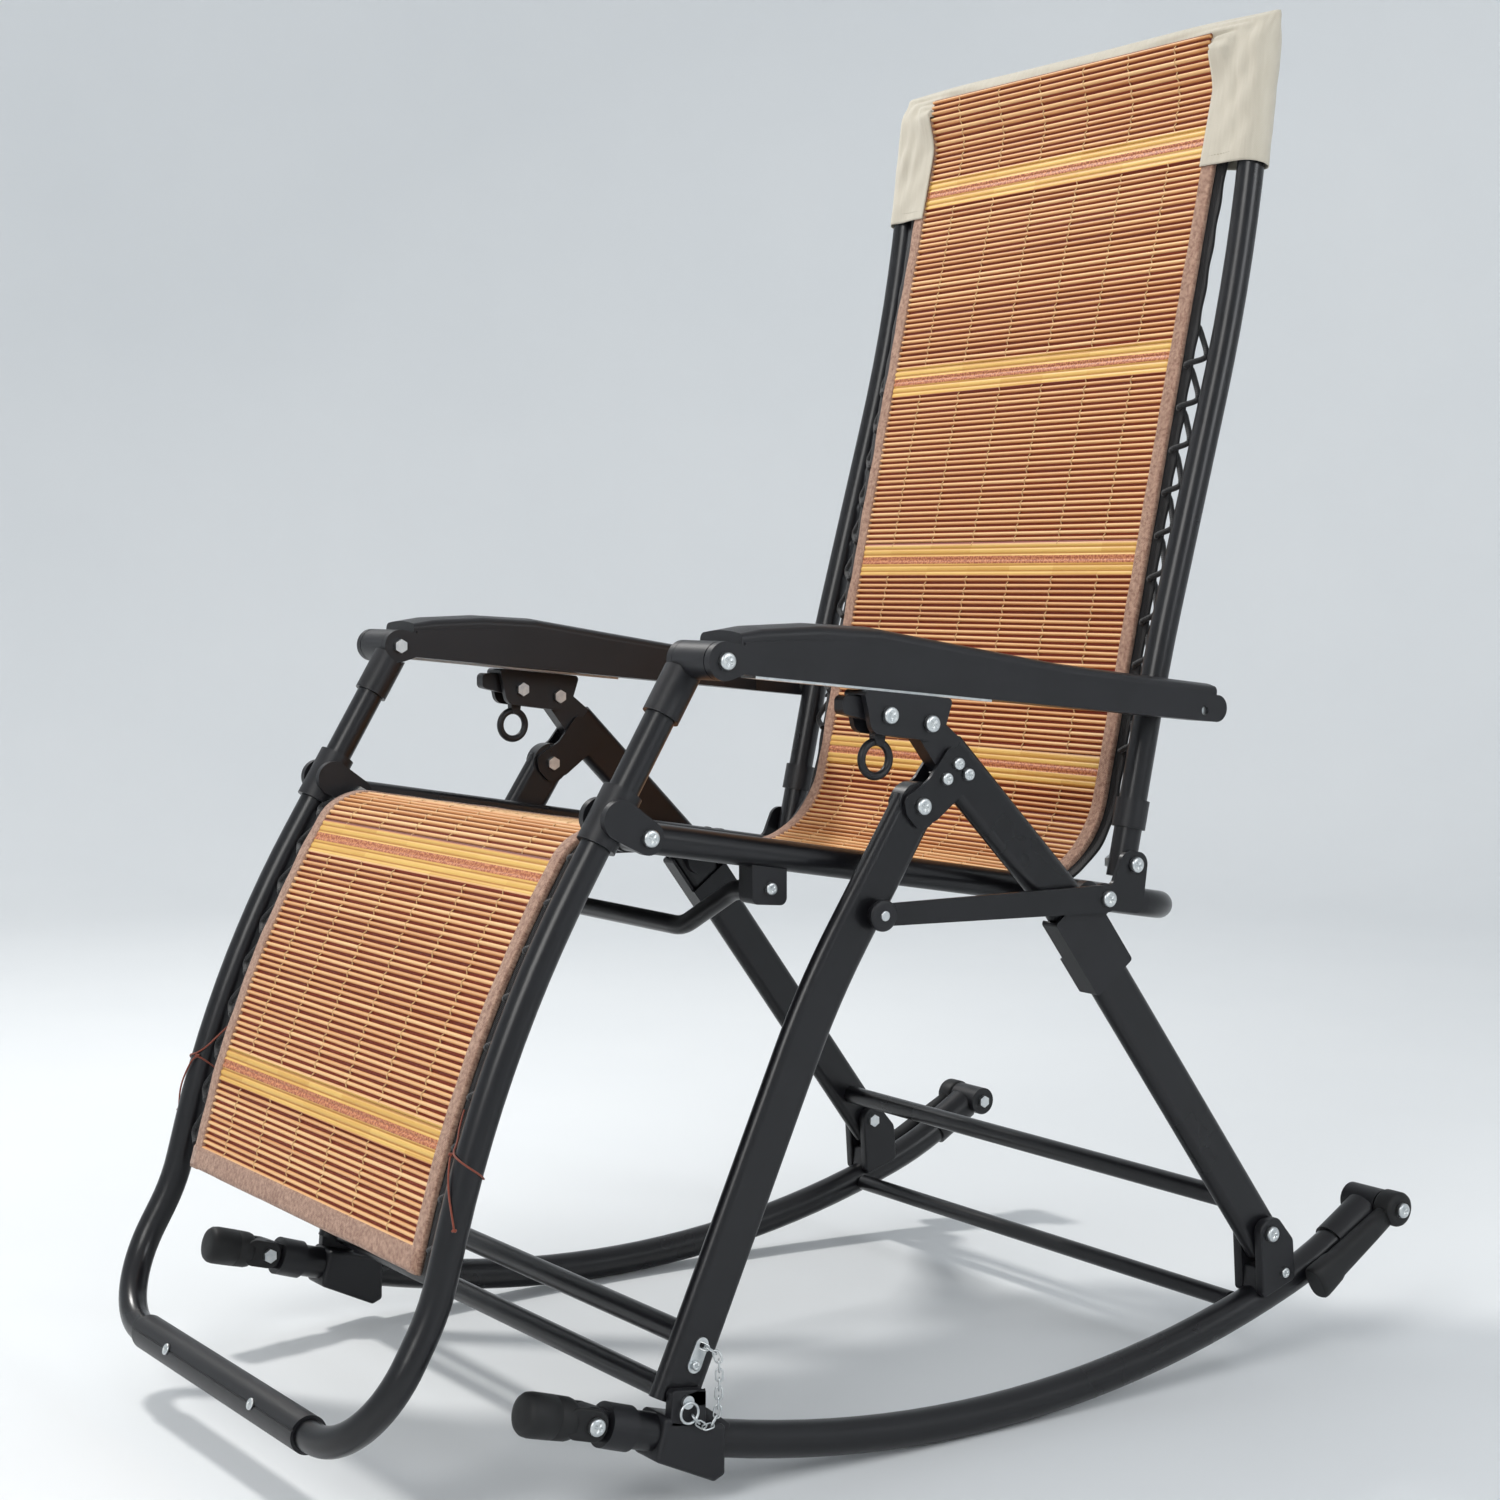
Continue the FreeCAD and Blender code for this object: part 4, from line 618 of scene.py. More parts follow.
def threadMesh(name, start, stop):
    # threads that go over one slat and under the next: a wave of two pitches, a tube carried along it
    along = np.arange(start + mat["threadEnd"], stop - mat["threadEnd"], mat["pitch"] / 4)
    wave = mat["threadRise"] * np.cos(along * math.pi / mat["pitch"] - math.pi / 2)
    middle = mat["high"] - mat["threadRise"] - mat["threadSink"] * inBands(along)  # hidden under the bands
    places = (np.arange(-3, 3) + 0.5) * mat["threadStep"]
    lines = [onSpine(along, place, middle + wave * (-1) ** i) for i, place in enumerate(places)]
    axis = np.array([1.0, 0.0, 0.0])
    return joined(name, [tubeMesh(name, line, mat["threadRadius"], 6, axis) for line in lines])


binding = {
    "wide": 0.0155, "thick": 0.0007, "over": 0.0025, "under": 0.0001, "corner": 0.0018, "step": 0.006,
    "seamIn": 0.0032, "headGap": 0.0015, "rippleIn": 0.004, "rippleLift": 0.6,
    "ripples": [(0.00035, 61.0, 0.0), (0.00025, 143.0, 1.0)],  # height, waves and shift
}
footHem = {
    "deep": 0.021, "proud": 0.0003, "under": 0.0002, "bulge": 0.0006, "rows": 9, "columns": 41,
    "ease": 0.002, "pinch": 0.45, "ripple": 0.0005, "waves": 40.0,
}


def bandProfile(inner, outer, low, high, corner):  # a flat ring with rounded corners, as across and height
    turns = np.arange(4)[:, None] * math.pi / 2 + np.linspace(0, math.pi / 2, 5)
    across = np.array([outer - corner, inner + corner, inner + corner, outer - corner])[:, None]
    height = np.array([high - corner, high - corner, low + corner, low + corner])[:, None]
    return (across + corner * np.cos(turns)).ravel(), (height + corner * np.sin(turns)).ravel()


def bindingMesh(name, start, stop, side):
    # a folded tape round the mat's edge: a flat ring carried along it, with a slight ripple of two sines
    along = np.linspace(start, stop, int((stop - start) / binding["step"]) + 2)[:, None]
    outer = mat["half"] + binding["over"]
    inner = outer - binding["wide"]
    low = mat["low"] - binding["under"]
    across, height = bandProfile(inner, outer, low, mat["high"] + binding["thick"], binding["corner"])
    ripple = sum(high * np.sin(along * waves + shift) for high, waves, shift in binding["ripples"])
    edge = across + ripple * (across > outer - binding["rippleIn"])
    points = onSpine(along, edge * side, height + ripple * binding["rippleLift"])
    seam = np.abs(across - (inner + binding["seamIn"])) + (height < mat["high"]) * 1.0  # on top only
    return outward(gridMesh(name, points, readings={"along": along, "across": across, "seam": seam}))


def hemMesh(name, start, stop):
    # the wide hem across the mat's end: a flat ring as wide as the mat, pinched at both long edges
    along = np.linspace(start, stop, footHem["rows"])[:, None]
    outer = mat["half"] + binding["over"] + footHem["proud"]
    high = mat["high"] + binding["thick"] + footHem["proud"]
    low = mat["low"] - footHem["under"]
    middle = (high + low) / 2
    count = footHem["columns"]
    span = 2 * outer * np.linspace(0, 1, count)
    tip = outer + footHem["bulge"]
    across = np.concatenate([outer - span, [-tip], -outer + span, [tip]])
    height = np.concatenate([np.full(count, high), [middle], np.full(count, low), [middle]])
    ease = np.clip(np.minimum(along - start, stop - along) / footHem["ease"], footHem["pinch"], 1)
    ripple = footHem["ripple"] * np.sin(across * footHem["waves"]) * (along - start) / (stop - start)
    points = onSpine(along + ripple, across, middle + (height - middle) * ease)
    seam = np.abs(along - start - binding["seamIn"]) + (height < high) * 1.0
    return outward(gridMesh(name, points, readings={"along": across, "across": along, "seam": seam}))


bamboo = bambooSlats()
tape = bindingCloth()
thread = grained("warpThread")
matParts = {"upper": ("back_mat", "seat_mat"), "lower": ("foot_mat",)}
for name, (start, stop) in halves.items():
    slats = setOut(matMesh(name + "Mat", start, stop), bamboo)
    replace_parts(slats, *matParts[name])
    edgeStart = max(start, mat["headLong"] + binding["headGap"])
    strips = [setOut(bindingMesh(name + "Binding" + word, edgeStart, stop, side), tape)
              for side, word in bothSides]
    for piece in (slats, setOut(threadMesh(name + "Threads", start, stop), thread), *strips):
        bendWith(piece, name)
mount(hemMesh("footHem", spineLong - footHem["deep"], spineLong), tape, "footrest")
print("mat:", len(mat["bands"]), "bands on", round(spineLong, 3), "m")

# sling under the mat

sling = {
    "half": 0.234, "low": -0.004, "high": -0.002, "scallop": 0.0014, "sag": 0.0002, "step": 0.005,
    "lacePitch": 0.04, "headStart": 0.015, "hemThick": 0.0008,
    # shares of the half width: the hem, where its upper side starts, and the columns
    "hem": (0.91, 0.997), "hemTop": 0.955, "columns": [0.0, 0.3, 0.6, 0.82, 0.9, 0.917, 0.96, 0.995, 1.0],
}


def slingMesh(name, start, stop):
    # a thin strip whose hemmed edges draw in between the eyelets by half of 1 - cos
    along = np.linspace(start, stop, int((stop - start) / sling["step"]) + 2)[:, None]
    edge = np.array(sling["columns"])
    share = np.concatenate([-edge[::-1], edge[1:]])
    out = np.abs(share)
    wave = 0.5 - 0.5 * np.cos(along * 2 * math.pi / sling["lacePitch"])
    half = sling["half"] - sling["scallop"] * wave
    hem = sling["hemThick"] * (out > sling["hem"][0]) * (out < sling["hem"][1])
    top = sling["high"] + 0.5 * hem * (out > sling["hemTop"]) - sling["sag"] * wave
    over = onSpine(along, half * share, top)
    under = onSpine(along, half * share[::-1], sling["low"] - hem[::-1])
    across = np.concatenate([share, share[::-1]]) * sling["half"]
    points = np.concatenate([over, under], axis=1)
    return outward(gridMesh(name, points, readings={"along": along, "across": across}))


cloth = slingCloth()
slingParts = {"upper": ("back_sling", "seat_sling"), "lower": ("foot_sling",)}
for name, (start, stop) in halves.items():
    start = max(start, sling["headStart"])
    sheet = setOut(slingMesh(name + "Sling", start, stop), cloth)
    bendWith(sheet, name)
    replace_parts(sheet, *slingParts[name])
    stop - start
print("sling: two sheets")

# elastic lacing from the sling's edge to the tube

lacing = {
    "radius": 0.0028, "around": 8, "steps": 6, "eyelet": (0.2285, -0.003), "press": 0.9,
    # one turn: how far along, the share of the way to the tube, and the lift off the sling
    "turn": [(0.0, 0.0, 0.0034), (0.003, 0.35, 0.0022), (0.006, 0.78, 0.0006), (0.0088, 1.0, 0.0),
             (0.0125, 1.0, 0.0), (0.017, 0.86, -0.0006), (0.028, 0.42, -0.0022), (0.036, 0.08, -0.0036),
             (0.0385, -0.04, -0.0016)],
    # where each run starts, its turns and its body
    "runs": {"back": (sideView["backTop"] - 0.1, 10, "backrest"), "seat": (spineBends[1] - 0.05, 8, "seat"),
             "foot": (spineLong - 0.02, 10, "footrest")},
}


def laceMesh(name, start, count, side):
    # one turn repeated along the tube and eased into a cord; its tip lies on the line from eyelet to tube
    turn = np.array(lacing["turn"])
    shift = np.arange(count)[:, None] * sling["lacePitch"]
    along = (start - shift - turn[None, :, 0]).ravel()
    share, lift = (np.tile(turn[:, i], count) for i in (1, 2))
    eyelet = np.array(lacing["eyelet"])
    behind = backTube(sideView["backTop"] - along) if name.startswith("back") else np.zeros(len(along))
    out = np.column_stack([np.full(len(along), sideView["railHalf"]), behind]) - eyelet
    clear = sideView["tubeRadius"] + lacing["press"] * lacing["radius"]
    flat = eyelet + out * (share * (1 - clear / np.linalg.norm(out, axis=1)))[:, None]
    line = eased(onSpine(along, flat[:, 0] * side, flat[:, 1] + lift), lacing["steps"])
    ends = start - count * sling["lacePitch"] / 2 + np.array([0.01, -0.01])  # about the run's middle
    axis = unit(np.diff(onSpine(ends, 0.0, 0.0), axis=0)[0])
    return tubeMesh(name, line, lacing["radius"], lacing["around"], axis)


elastic = laceCord()
for name, (start, count, body) in lacing["runs"].items():
    pair = [laceMesh(name + "Lace", start, count, side) for side, word in bothSides]
    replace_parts(mount(joined(name + "Lacing", pair), elastic, body), name + "_lacing")
print("lacing:", sum(run[1] for run in lacing["runs"].values()) * 2, "turns")

# cotton hood over the top corners

hood = {
    "half": 0.273, "inner": 0.2065, "low": 0.648, "top": 0.7885, "notch": 0.757, "outerTurn": 0.0035,
    "innerTurn": 0.004, "sideRows": 54, "topRows": 110, "columns": 29, "thick": 0.0009, "hem": 0.009,
    "flat": (0.56, 0.28), "frontEdge": 0.0054, "backEdge": -0.0064,
    # the roll over the tube: its rise, its reach in from the fold, and how far the corners spread
    "rise": 0.0148, "reach": 0.017, "cornerReach": 0.04, "cornerSpread": 0.012, "leastWide": 0.004,
    # where the front lies on the mat, and how softly that starts
    "sideEase": 0.003, "matHalf": 0.2285, "matEase": 0.005, "notchOver": 0.006, "notchEase": 0.008,
}


def hoodEdge(half, top, bend, share):  # an edge up one side, across the top and down the other, 1 unit each
    corners = [(-half, hood["low"]), (-half, top), (half, top), (half, hood["low"])]
    points, along, bends = roundedPath([np.array(corner) for corner in corners], [bend, bend], fineStep)
    far = np.interp(share, [0, 1, 2, 3], [0, bends[0], bends[1], along[-1]])
    return np.stack([np.interp(far, along, points[:, i]) for i in (0, 1)], axis=-1)


def hoodCreases(row, reach, near):
    # four slanting sines: two over the whole cloth, one at the corners, one halfway up each side
    far = np.minimum(row, 3 - row)  # 0 at the lower ends, 1 at a corner
    slack = np.sin(math.pi * np.clip(reach, 0.05, 0.95))
    return (0.0010 * np.sin(18.0 * row + 7.0 * reach + 0.6) * slack
            + 0.0007 * np.sin(31.0 * row - 13.0 * reach) * (0.3 + near)
            + 0.0013 * np.sin(26.0 * (reach - 0.5 * np.abs(row - 1.5))) * near
            + 0.0011 * np.sin(24.0 * reach + 9.0 * far) * slack * np.exp(-(far - 0.55) ** 2 / 0.06))


def hoodMesh(name):
    # a cover folded over the tube: rows go up one side, across the top and down the other,
    # columns go from the front's inner edge over the outer fold to the back's inner edge
    share = np.concatenate([np.linspace(0, 1, hood["sideRows"]), np.linspace(1, 2, hood["topRows"])[1:],
                            np.linspace(2, 3, hood["sideRows"])[1:]])
    inner = hoodEdge(hood["inner"], hood["notch"], hood["innerTurn"], share)
    outer = hoodEdge(hood["half"], hood["top"], hood["outerTurn"], share)
    column = np.concatenate([np.linspace(0, 1, hood["columns"]), np.linspace(1, 2, hood["columns"])[1:]])
    front = column[None] <= 1
    reach = np.minimum(column, 2 - column)[None]
    flat = inner[:, None] + (outer - inner)[:, None] * reach[..., None]
    across, up = flat[..., 0], flat[..., 1]
    wide = np.linalg.norm(outer - inner, axis=1)[:, None]
    near = np.exp(-np.minimum(np.abs(share - 1), np.abs(share - 2)) ** 2 / hood["cornerSpread"])[:, None]
    # the roll: a rounded edge of the given reach, flatter at the corners
    peak = hood["reach"] + (hood["cornerReach"] - hood["reach"]) * near
    edge = (1 - reach) * wide  # distance in from the outer fold
    power = 2.0 - 0.6 * near
    bulge = (1 - np.clip(1 - edge / peak, 0, 1) ** power) ** (1 / power)
    puffed = backTube(up) + np.where(front, 1, -1) * hood["rise"] * bulge
    # the inner edges: settled on the mat in front and behind the sling at the back
    inward = np.clip((edge - peak) / np.maximum(wide - peak, hood["leastWide"]), 0, 1)
    settle = inward * inward * (3 - 2 * inward)
    # side is 0 on the top roll and 1 on the corners
    side = np.clip((np.abs(across) - hood["inner"] + hood["sideEase"]) / hood["sideEase"], 0, 1)
    fade = np.clip((hood["top"] - up) / (hood["top"] - hood["notch"]), 0, 1)
    # the corners lie over the mat
    onTop = hood["frontEdge"] + headLift(sideView["backTop"] - up) * side * fade
    held = np.where(front, onTop, hood["backEdge"])
    held = np.where(front & (side < 1), puffed * (1 - side) + held * side, held)
    crease = hoodCreases(share[:, None], reach, near) * (0.2 + 0.8 * bulge) * (1 - 0.7 * settle)
    height = puffed * (1 - settle) + held * settle + crease
    onMat = np.clip((hood["matHalf"] - np.abs(across)) / hood["matEase"], 0, 1) * side
    onMat *= np.clip((hood["notch"] + hood["notchOver"] - up) / hood["notchEase"], 0, 1)
    height = np.where(front, np.maximum(height, onTop * onMat + height * (1 - onMat)), height)
    readings = {"across": across, "along": up, "seam": np.abs(up - hood["low"] - hood["hem"])}
    return gridMesh(name, onBack(across, up, height), ringed=False, capped=(False, False), readings=readings)


def meshArea(mesh):
    areas = np.empty(len(mesh.polygons))
    mesh.polygons.foreach_get("area", areas)
    return float(areas.sum())


hoodPiece = setOut(hoodMesh("cottonHood"), cottonCloth())
hoodArea = meshArea(hoodPiece.data)
wall = hoodPiece.modifiers.new("clothWall", "SOLIDIFY")
wall.thickness = hood["thick"]
wall.offset = 0.0
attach(hoodPiece, "backrest")
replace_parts(hoodPiece, "headrest_hood")
print("hood:", round(hoodArea, 4), "square metres of cloth")

# string ties from the mat's edge round the foot tube

tie = {
    "knot": (-0.4183, 0.2856), "radius": 0.0008, "knotSize": 0.0005, "knotAt": 11,
    "knotAxis": (0.3, 0.5, 0.81),
    "start": [(-0.032, 0.2265, 0.0005), (-0.02, 0.2335, 0.0046)],  # along, across and height at the edge
    # along, degrees round the tube from its inner side over its front, and distance from the tube's axis
    "route": [(-0.008, 30, 0.015), (0.0, 60, 0.0145), (0.003, 105, 0.0145), (0.0065, 150, 0.0145),
              (0.01, 195, 0.0145), (0.0135, 240, 0.0145), (0.0125, 285, 0.0145), (0.0085, 330, 0.0145),
              (0.0045, 375, 0.0147), (0.0015, 412, 0.0158), (0.007, 430, 0.0152), (0.018, 448, 0.0146),
              (0.03, 470, 0.0144), (0.042, 494, 0.0143), (0.054, 514, 0.0143)],
}


def tieRoute(side):
    middle = alongOf(*tie["knot"])
    start = np.array(tie["start"])
    along, turns, far = np.array(tie["route"]).T
    turns = np.radians(turns)
    across = np.concatenate([start[:, 1], sideView["railHalf"] - far * np.cos(turns)])
    height = np.concatenate([start[:, 2], far * np.sin(turns)])
    return onSpine(middle + np.concatenate([start[:, 0], along]), across * side, height)


def splineLine(curve):  # the points that a bare curve passes through
    bare = curve.copy()
    bare.data = curve.data.copy()
    bare.data.bevel_depth = 0.0
    bpy.context.scene.collection.objects.link(bare)
    bpy.context.view_layer.update()
    mesh = bpy.data.meshes.new_from_object(bare.evaluated_get(bpy.context.evaluated_depsgraph_get()))
    places = np.empty(len(mesh.vertices) * 3)
    mesh.vertices.foreach_get("co", places)
    bpy.data.objects.remove(bare)
    return places.reshape(-1, 3)


def cordCurve(name, points, radius, finish):
    data = bpy.data.curves.new(name, "CURVE")
    data.dimensions = "3D"
    spline = data.splines.new("NURBS")
    spline.points.add(len(points) - 1)
    spline.points.foreach_set("co", np.column_stack([points, np.ones(len(points))]).ravel())
    spline.order_u = 3
    spline.use_endpoint_u = True
    spline.resolution_u = 8
    data.bevel_depth = radius
    data.bevel_resolution = 3
    data.use_fill_caps = True
    data.materials.append(finish)
    curve = bpy.data.objects.new(name, data)
    bpy.context.scene.collection.objects.link(curve)
    return curve


def knotMesh(name, centres):
    # an overhand knot: the trefoil (sin t + 2 sin 2t, cos t - 2 cos 2t, - sin 3t), a tube carried round it
    t = circle(72)
    loop = np.column_stack([np.sin(t) + 2 * np.sin(2 * t), np.cos(t) - 2 * np.cos(2 * t), -np.sin(3 * t)])
    loop *= tie["knotSize"]
    axis = np.array(tie["knotAxis"])
    return joined(name, [tubeMesh(name, centre + loop, tie["radius"], 8, axis, looped=True)
                         for centre in centres])


string = grained("tieString")
for side, word in bothSides:
    route = tieRoute(side)
    cord = cordCurve("footTie" + word, route, tie["radius"], string)
    line = splineLine(cord)
    knots = setOut(knotMesh("footTieKnots" + word, [route[tie["knotAt"]], line[-1]]), string)
    for piece in (cord, knots):
        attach(piece, "footrest")

# chains from the hangers to the lock pins' rings

chain = {
    "route": [(0.3112, -0.2497, 0.1262), (0.3165, -0.2462, 0.1242), (0.321, -0.2424, 0.1185),
              (0.3226, -0.2422, 0.104), (0.3228, -0.243, 0.0885), (0.3228, -0.2442, 0.0765),
              (0.3228, -0.2478, 0.069), (0.3228, -0.2535, 0.0662), (0.3228, -0.2595, 0.069),
              (0.3228, -0.2642, 0.0741)],
    "links": 13, "long": 0.0102, "wide": 0.0054, "wire": 0.00072, "straight": 6, "lead": (1.0, 0.2, 0.3),
}


def chainMesh(name, side):
    # oval rings strung along a line, each a quarter turn from the last: a round wire carried round
    # (radius cos t + run tanh(6 cos t), radius sin t)
    line = eased(np.array(chain["route"]), 12)
    far = lengthAlong(line)
    stops = np.linspace(0, far[-1], chain["links"])
    slope = np.gradient(line, far, axis=0)
    centres, ways = (np.stack([np.interp(stops, far, values[:, i]) for i in range(3)], axis=-1)
                     for values in (line, slope))
    t = circle(28)
    radius = chain["wide"] / 2
    run = (chain["long"] - chain["wide"]) / 2
    ovalX = radius * np.cos(t) + run * np.tanh(chain["straight"] * np.cos(t))
    ovalY = radius * np.sin(t)
    mirror = np.array([side, 1, 1])
    rings = []
    for i, (centre, way) in enumerate(zip(centres, ways)):
        along = unit(way)
        first = unit(np.cross(along, chain["lead"]))
        second = np.cross(along, first)
        tilt = math.pi / 4 + i * math.pi / 2
        across = first * math.cos(tilt) + second * math.sin(tilt)
        loop = (centre + ovalX[:, None] * along + ovalY[:, None] * across) * mirror
        rings.append(tubeMesh(name, loop, chain["wire"], 7, np.cross(along, across) * mirror, looped=True))
    return joined(name, rings)


zinc = grained("zincPlate")
for side, word in bothSides:
    links = setOut(chainMesh("lockChain" + word, side), zinc)
    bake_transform(links)
print("chains:", chain["links"], "links each")

# pan heads with a cross recess over the plain bolt heads

heads = {
    "around": 48, "arm": 0.17, "armEase": 0.07, "armLong": 0.58, "armEnd": 0.06, "recess": 0.0013,
    "lead": (0.13, 0.5, 0.86),
    # from the rim to the middle: share of the radius and share of the height
    "profile": [(1.0, 0.0), (1.0, 0.55), (0.985, 0.72), (0.93, 0.86), (0.84, 0.94), (0.72, 0.975),
                (0.64, 0.985), (0.58, 0.99), (0.52, 0.993), (0.45, 0.995), (0.38, 0.997), (0.31, 0.998),
                (0.25, 1.0), (0.2, 1.0), (0.15, 1.0), (0.1, 1.0), (0.04, 1.0)],
    # radius and height over the seat
    "kinds": {"bolt": (0.007, 0.0052), "pivot": (0.007, 0.005), "screw": (0.0052, 0.0046),
              "stud": (0.0046, 0.0036), "hook": (0.0038, 0.0034), "grip": (0.0048, 0.0022),
              "boss": (0.013, 0.0044), "rivet": (0.0042, 0.0016)},
    # body: side-view place, how far out the head's seat lies, and its kind
    "places": {
        "rockers": [(-0.3502, 0.08243, 0.3153, "bolt"), (0.518, 0.13181, 0.3382, "bolt"),
                    (0.3658, 0.12727, 0.3186, "bolt"), (0.3838, 0.08877, 0.3185, "stud")],
        "rear_legs": [(-0.03507, 0.53811, 0.3113, "bolt"), (-0.02946, 0.60569, 0.315, "bolt"),
                      (0.00153, 0.57164, 0.3113, "screw"), (-0.01053, 0.55966, 0.3113, "screw"),
                      (0.0121, 0.56241, 0.3113, "screw")],
        "links": [(0.16451, 0.44869, 0.3162, "pivot")],
        "seat": [(-0.15304, 0.474, 0.263, "screw"), (0.23648, 0.46966, 0.2729, "bolt"),
                 (-0.27533, 0.52253, 0.2757, "bolt"), (0.18818, 0.44471, 0.2727, "screw")],
        "footrest": [(-0.22588, 0.6599, 0.3083, "bolt")],
        "brackets": [(-0.07171, 0.61379, 0.3145, "bolt")],
        "front_legs": [(-0.25631, 0.11186, 0.3096, "hook")],
    },
    "linkBoss": (-0.07974, 0.45234, 0.3162, "boss"), "linkRivet": (-0.07974, 0.45234, 0.3204, "rivet"),
    "gripToe": (-0.51694, 0.06582), "gripOut": 0.0152, "gripLean": -66.0, "gripAcross": 0.088,
}


def headMesh(name, seat, out, kind, crossed=True):
    # a pan head: a profile turned about its axis, less a cross of two slots with eased sides
    radius, high = heads["kinds"][kind]
    share, rise = np.array(heads["profile"]).T[:, :, None]
    turns = circle(heads["around"])[None]
    u = share * np.cos(turns)
    v = share * np.sin(turns)
    slot = np.clip((heads["arm"] - np.minimum(np.abs(u), np.abs(v))) / heads["armEase"], 0, 1)
    slot *= np.clip((heads["armLong"] - share) / heads["armEnd"], 0, 1)
    depth = high * rise - (heads["recess"] * slot if crossed else 0)
    first = unit(np.cross(out, heads["lead"]))
    second = np.cross(out, first)
    points = seat + radius * (u[..., None] * first + v[..., None] * second) + depth[..., None] * out
    return outward(gridMesh(name, points))


def setHeads(name, body, places, finish, crossed=True):  # the same heads on both sides
    meshes = [headMesh(name, np.array([side * x, y, z]), np.array([side, 0.0, 0.0]), kind, crossed)
              for side, word in bothSides for y, z, x, kind in places]
    mount(joined(name, meshes), finish, body)


plastic = grained("blackPlastic")
for body, places in heads["places"].items():
    setHeads(body.replace("_", "") + "Heads", body, places, zinc)
setHeads("linkBosses", "links", [heads["linkBoss"]], plastic, crossed=False)
setHeads("linkRivets", "links", [heads["linkRivet"]], zinc, crossed=False)
gripWay = np.array([0.0, *lean(heads["gripLean"])])
gripSeat = np.array([0.0, *heads["gripToe"]]) + gripWay * heads["gripOut"]
gripHeads = [headMesh("gripHeads", gripSeat + [side * heads["gripAcross"], 0, 0], gripWay, "grip")
             for side, word in bothSides]
mount(joined("gripHeads", gripHeads), zinc, "footrest")
print("heads:", 2 * sum(len(places) for places in heads["places"].values()) + 4)

# moulded fittings of the base: saddles, leg brackets and stopper feet

saddle = {  # side-view corners with their rounding, the two faces across, and the rounding of their rims
    "block": ([(-0.288, 0.0785, 0.004), (-0.297, 0.0445, 0.004), (-0.243, 0.0185, 0.004),
               (-0.233, 0.0225, 0.004), (-0.2325, 0.0625, 0.005)], 0.2815, 0.3185, 0.0035),
    "cheek": ([(-0.2825, 0.0985, 0.004), (-0.2535, 0.0945, 0.003), (-0.2525, 0.0935, 0.0005),
               (-0.2725, 0.0912, 0.002), (-0.2725, 0.0846, 0.002), (-0.2515, 0.0838, 0.0005),
               (-0.2515, 0.064, 0.002), (-0.2845, 0.07, 0.002)], 0.3087, 0.3185, 0.0014),
    "fin": ([(-0.2505, 0.0745, 0.001), (-0.2455, 0.0765, 0.002), (-0.222, 0.0585, 0.003),
             (-0.232, 0.05, 0.001), (-0.2505, 0.056, 0.001)], 0.296, 0.311, 0.0015),
}
legBracket = {
    "plate": [(0.3528, 0.1393, 0.012), (0.3758, 0.1413, 0.01), (0.3958, 0.1183, 0.01),
              (0.3988, 0.0803, 0.006), (0.3578, 0.0673, 0.005)],
    "web": [(0.3598, 0.0943, 0.002), (0.3958, 0.0973, 0.003), (0.3988, 0.0803, 0.006),
            (0.3578, 0.0673, 0.005)],
    "faces": [("plate", 0.3087, 0.3185), ("web", 0.291, 0.309), ("plate", 0.2815, 0.2913)], "soft": 0.0018,
}
frontFoot = {
    "knuckle": (-0.3502, 0.08243), "way": (-0.96, 0.28), "across": 0.3, "around": 40,
    "ear": (0.0125, 0.026), "earTurn": 0.96, "earFaces": [(0.285, 0.2915), (0.3085, 0.315)], "soft": 0.0015,
    # distance from the knuckle and radius
    "profile": [(0.0135, 0.007), (0.0138, 0.0125), (0.0155, 0.0158), (0.019, 0.0168), (0.03, 0.0171),
                (0.0305, 0.0167), (0.0312, 0.0167), (0.0317, 0.0172), (0.05, 0.0174), (0.0545, 0.0167),
                (0.0572, 0.0148), (0.0585, 0.011), (0.0588, 0.004)],
}
rearFoot = {
    "barrel": (0.518, 0.13181), "toe": (0.4155, 0.0745), "across": (0.3166, 0.338), "around": 40,
    "square": 2.8, "hub": 0.0164,
    "rim": [(0.0, 0.0035), (0.0012, 0.0008), (0.003, 0.0)],  # in from the hub's face, and off its radius
    # share of the way to the toe, width across and height
    "rings": [(0.0, 0.015, 0.018), (0.3, 0.0176, 0.0215), (0.74, 0.0196, 0.0258), (0.78, 0.0206, 0.0296),
              (0.9, 0.0212, 0.0325), (0.96, 0.0212, 0.0334), (0.985, 0.0204, 0.0325), (1.0, 0.0176, 0.0296)],
}


def plateMesh(name, corners, inner, outer, soft, side):
    # a rounded outline carried across, drawn in at both faces by a quarter circle
    spots = [np.array(corner[:2]) for corner in corners]
    start = (spots[0] + spots[-1]) / 2
    outline = roundedPath([start, *spots, start], [corner[2] for corner in corners], fineStep)[0][:-1]
    slope = np.roll(outline, -1, axis=0) - np.roll(outline, 1, axis=0)
    normal = np.column_stack([slope[:, 1], -slope[:, 0]]) / np.linalg.norm(slope, axis=1)[:, None]
    middle = outline - outline.mean(axis=0)
    normal *= math.copysign(1.0, (middle[:, 0] * slope[:, 1] - middle[:, 1] * slope[:, 0]).sum())
    turns = np.linspace(0, math.pi / 2, 5)
    drawn = np.concatenate([soft * (1 - np.sin(turns)), soft * (1 - np.sin(turns[::-1]))])
    across = np.concatenate([inner + soft * (1 - np.cos(turns)), outer - soft * (1 - np.cos(turns[::-1]))])
    flat = outline[None] - normal[None] * drawn[:, None, None]
    wide = np.broadcast_to(side * across[:, None], flat.shape[:2])
    points = np.concatenate([wide[..., None], flat], axis=-1)
    return outward(gridMesh(name, points))


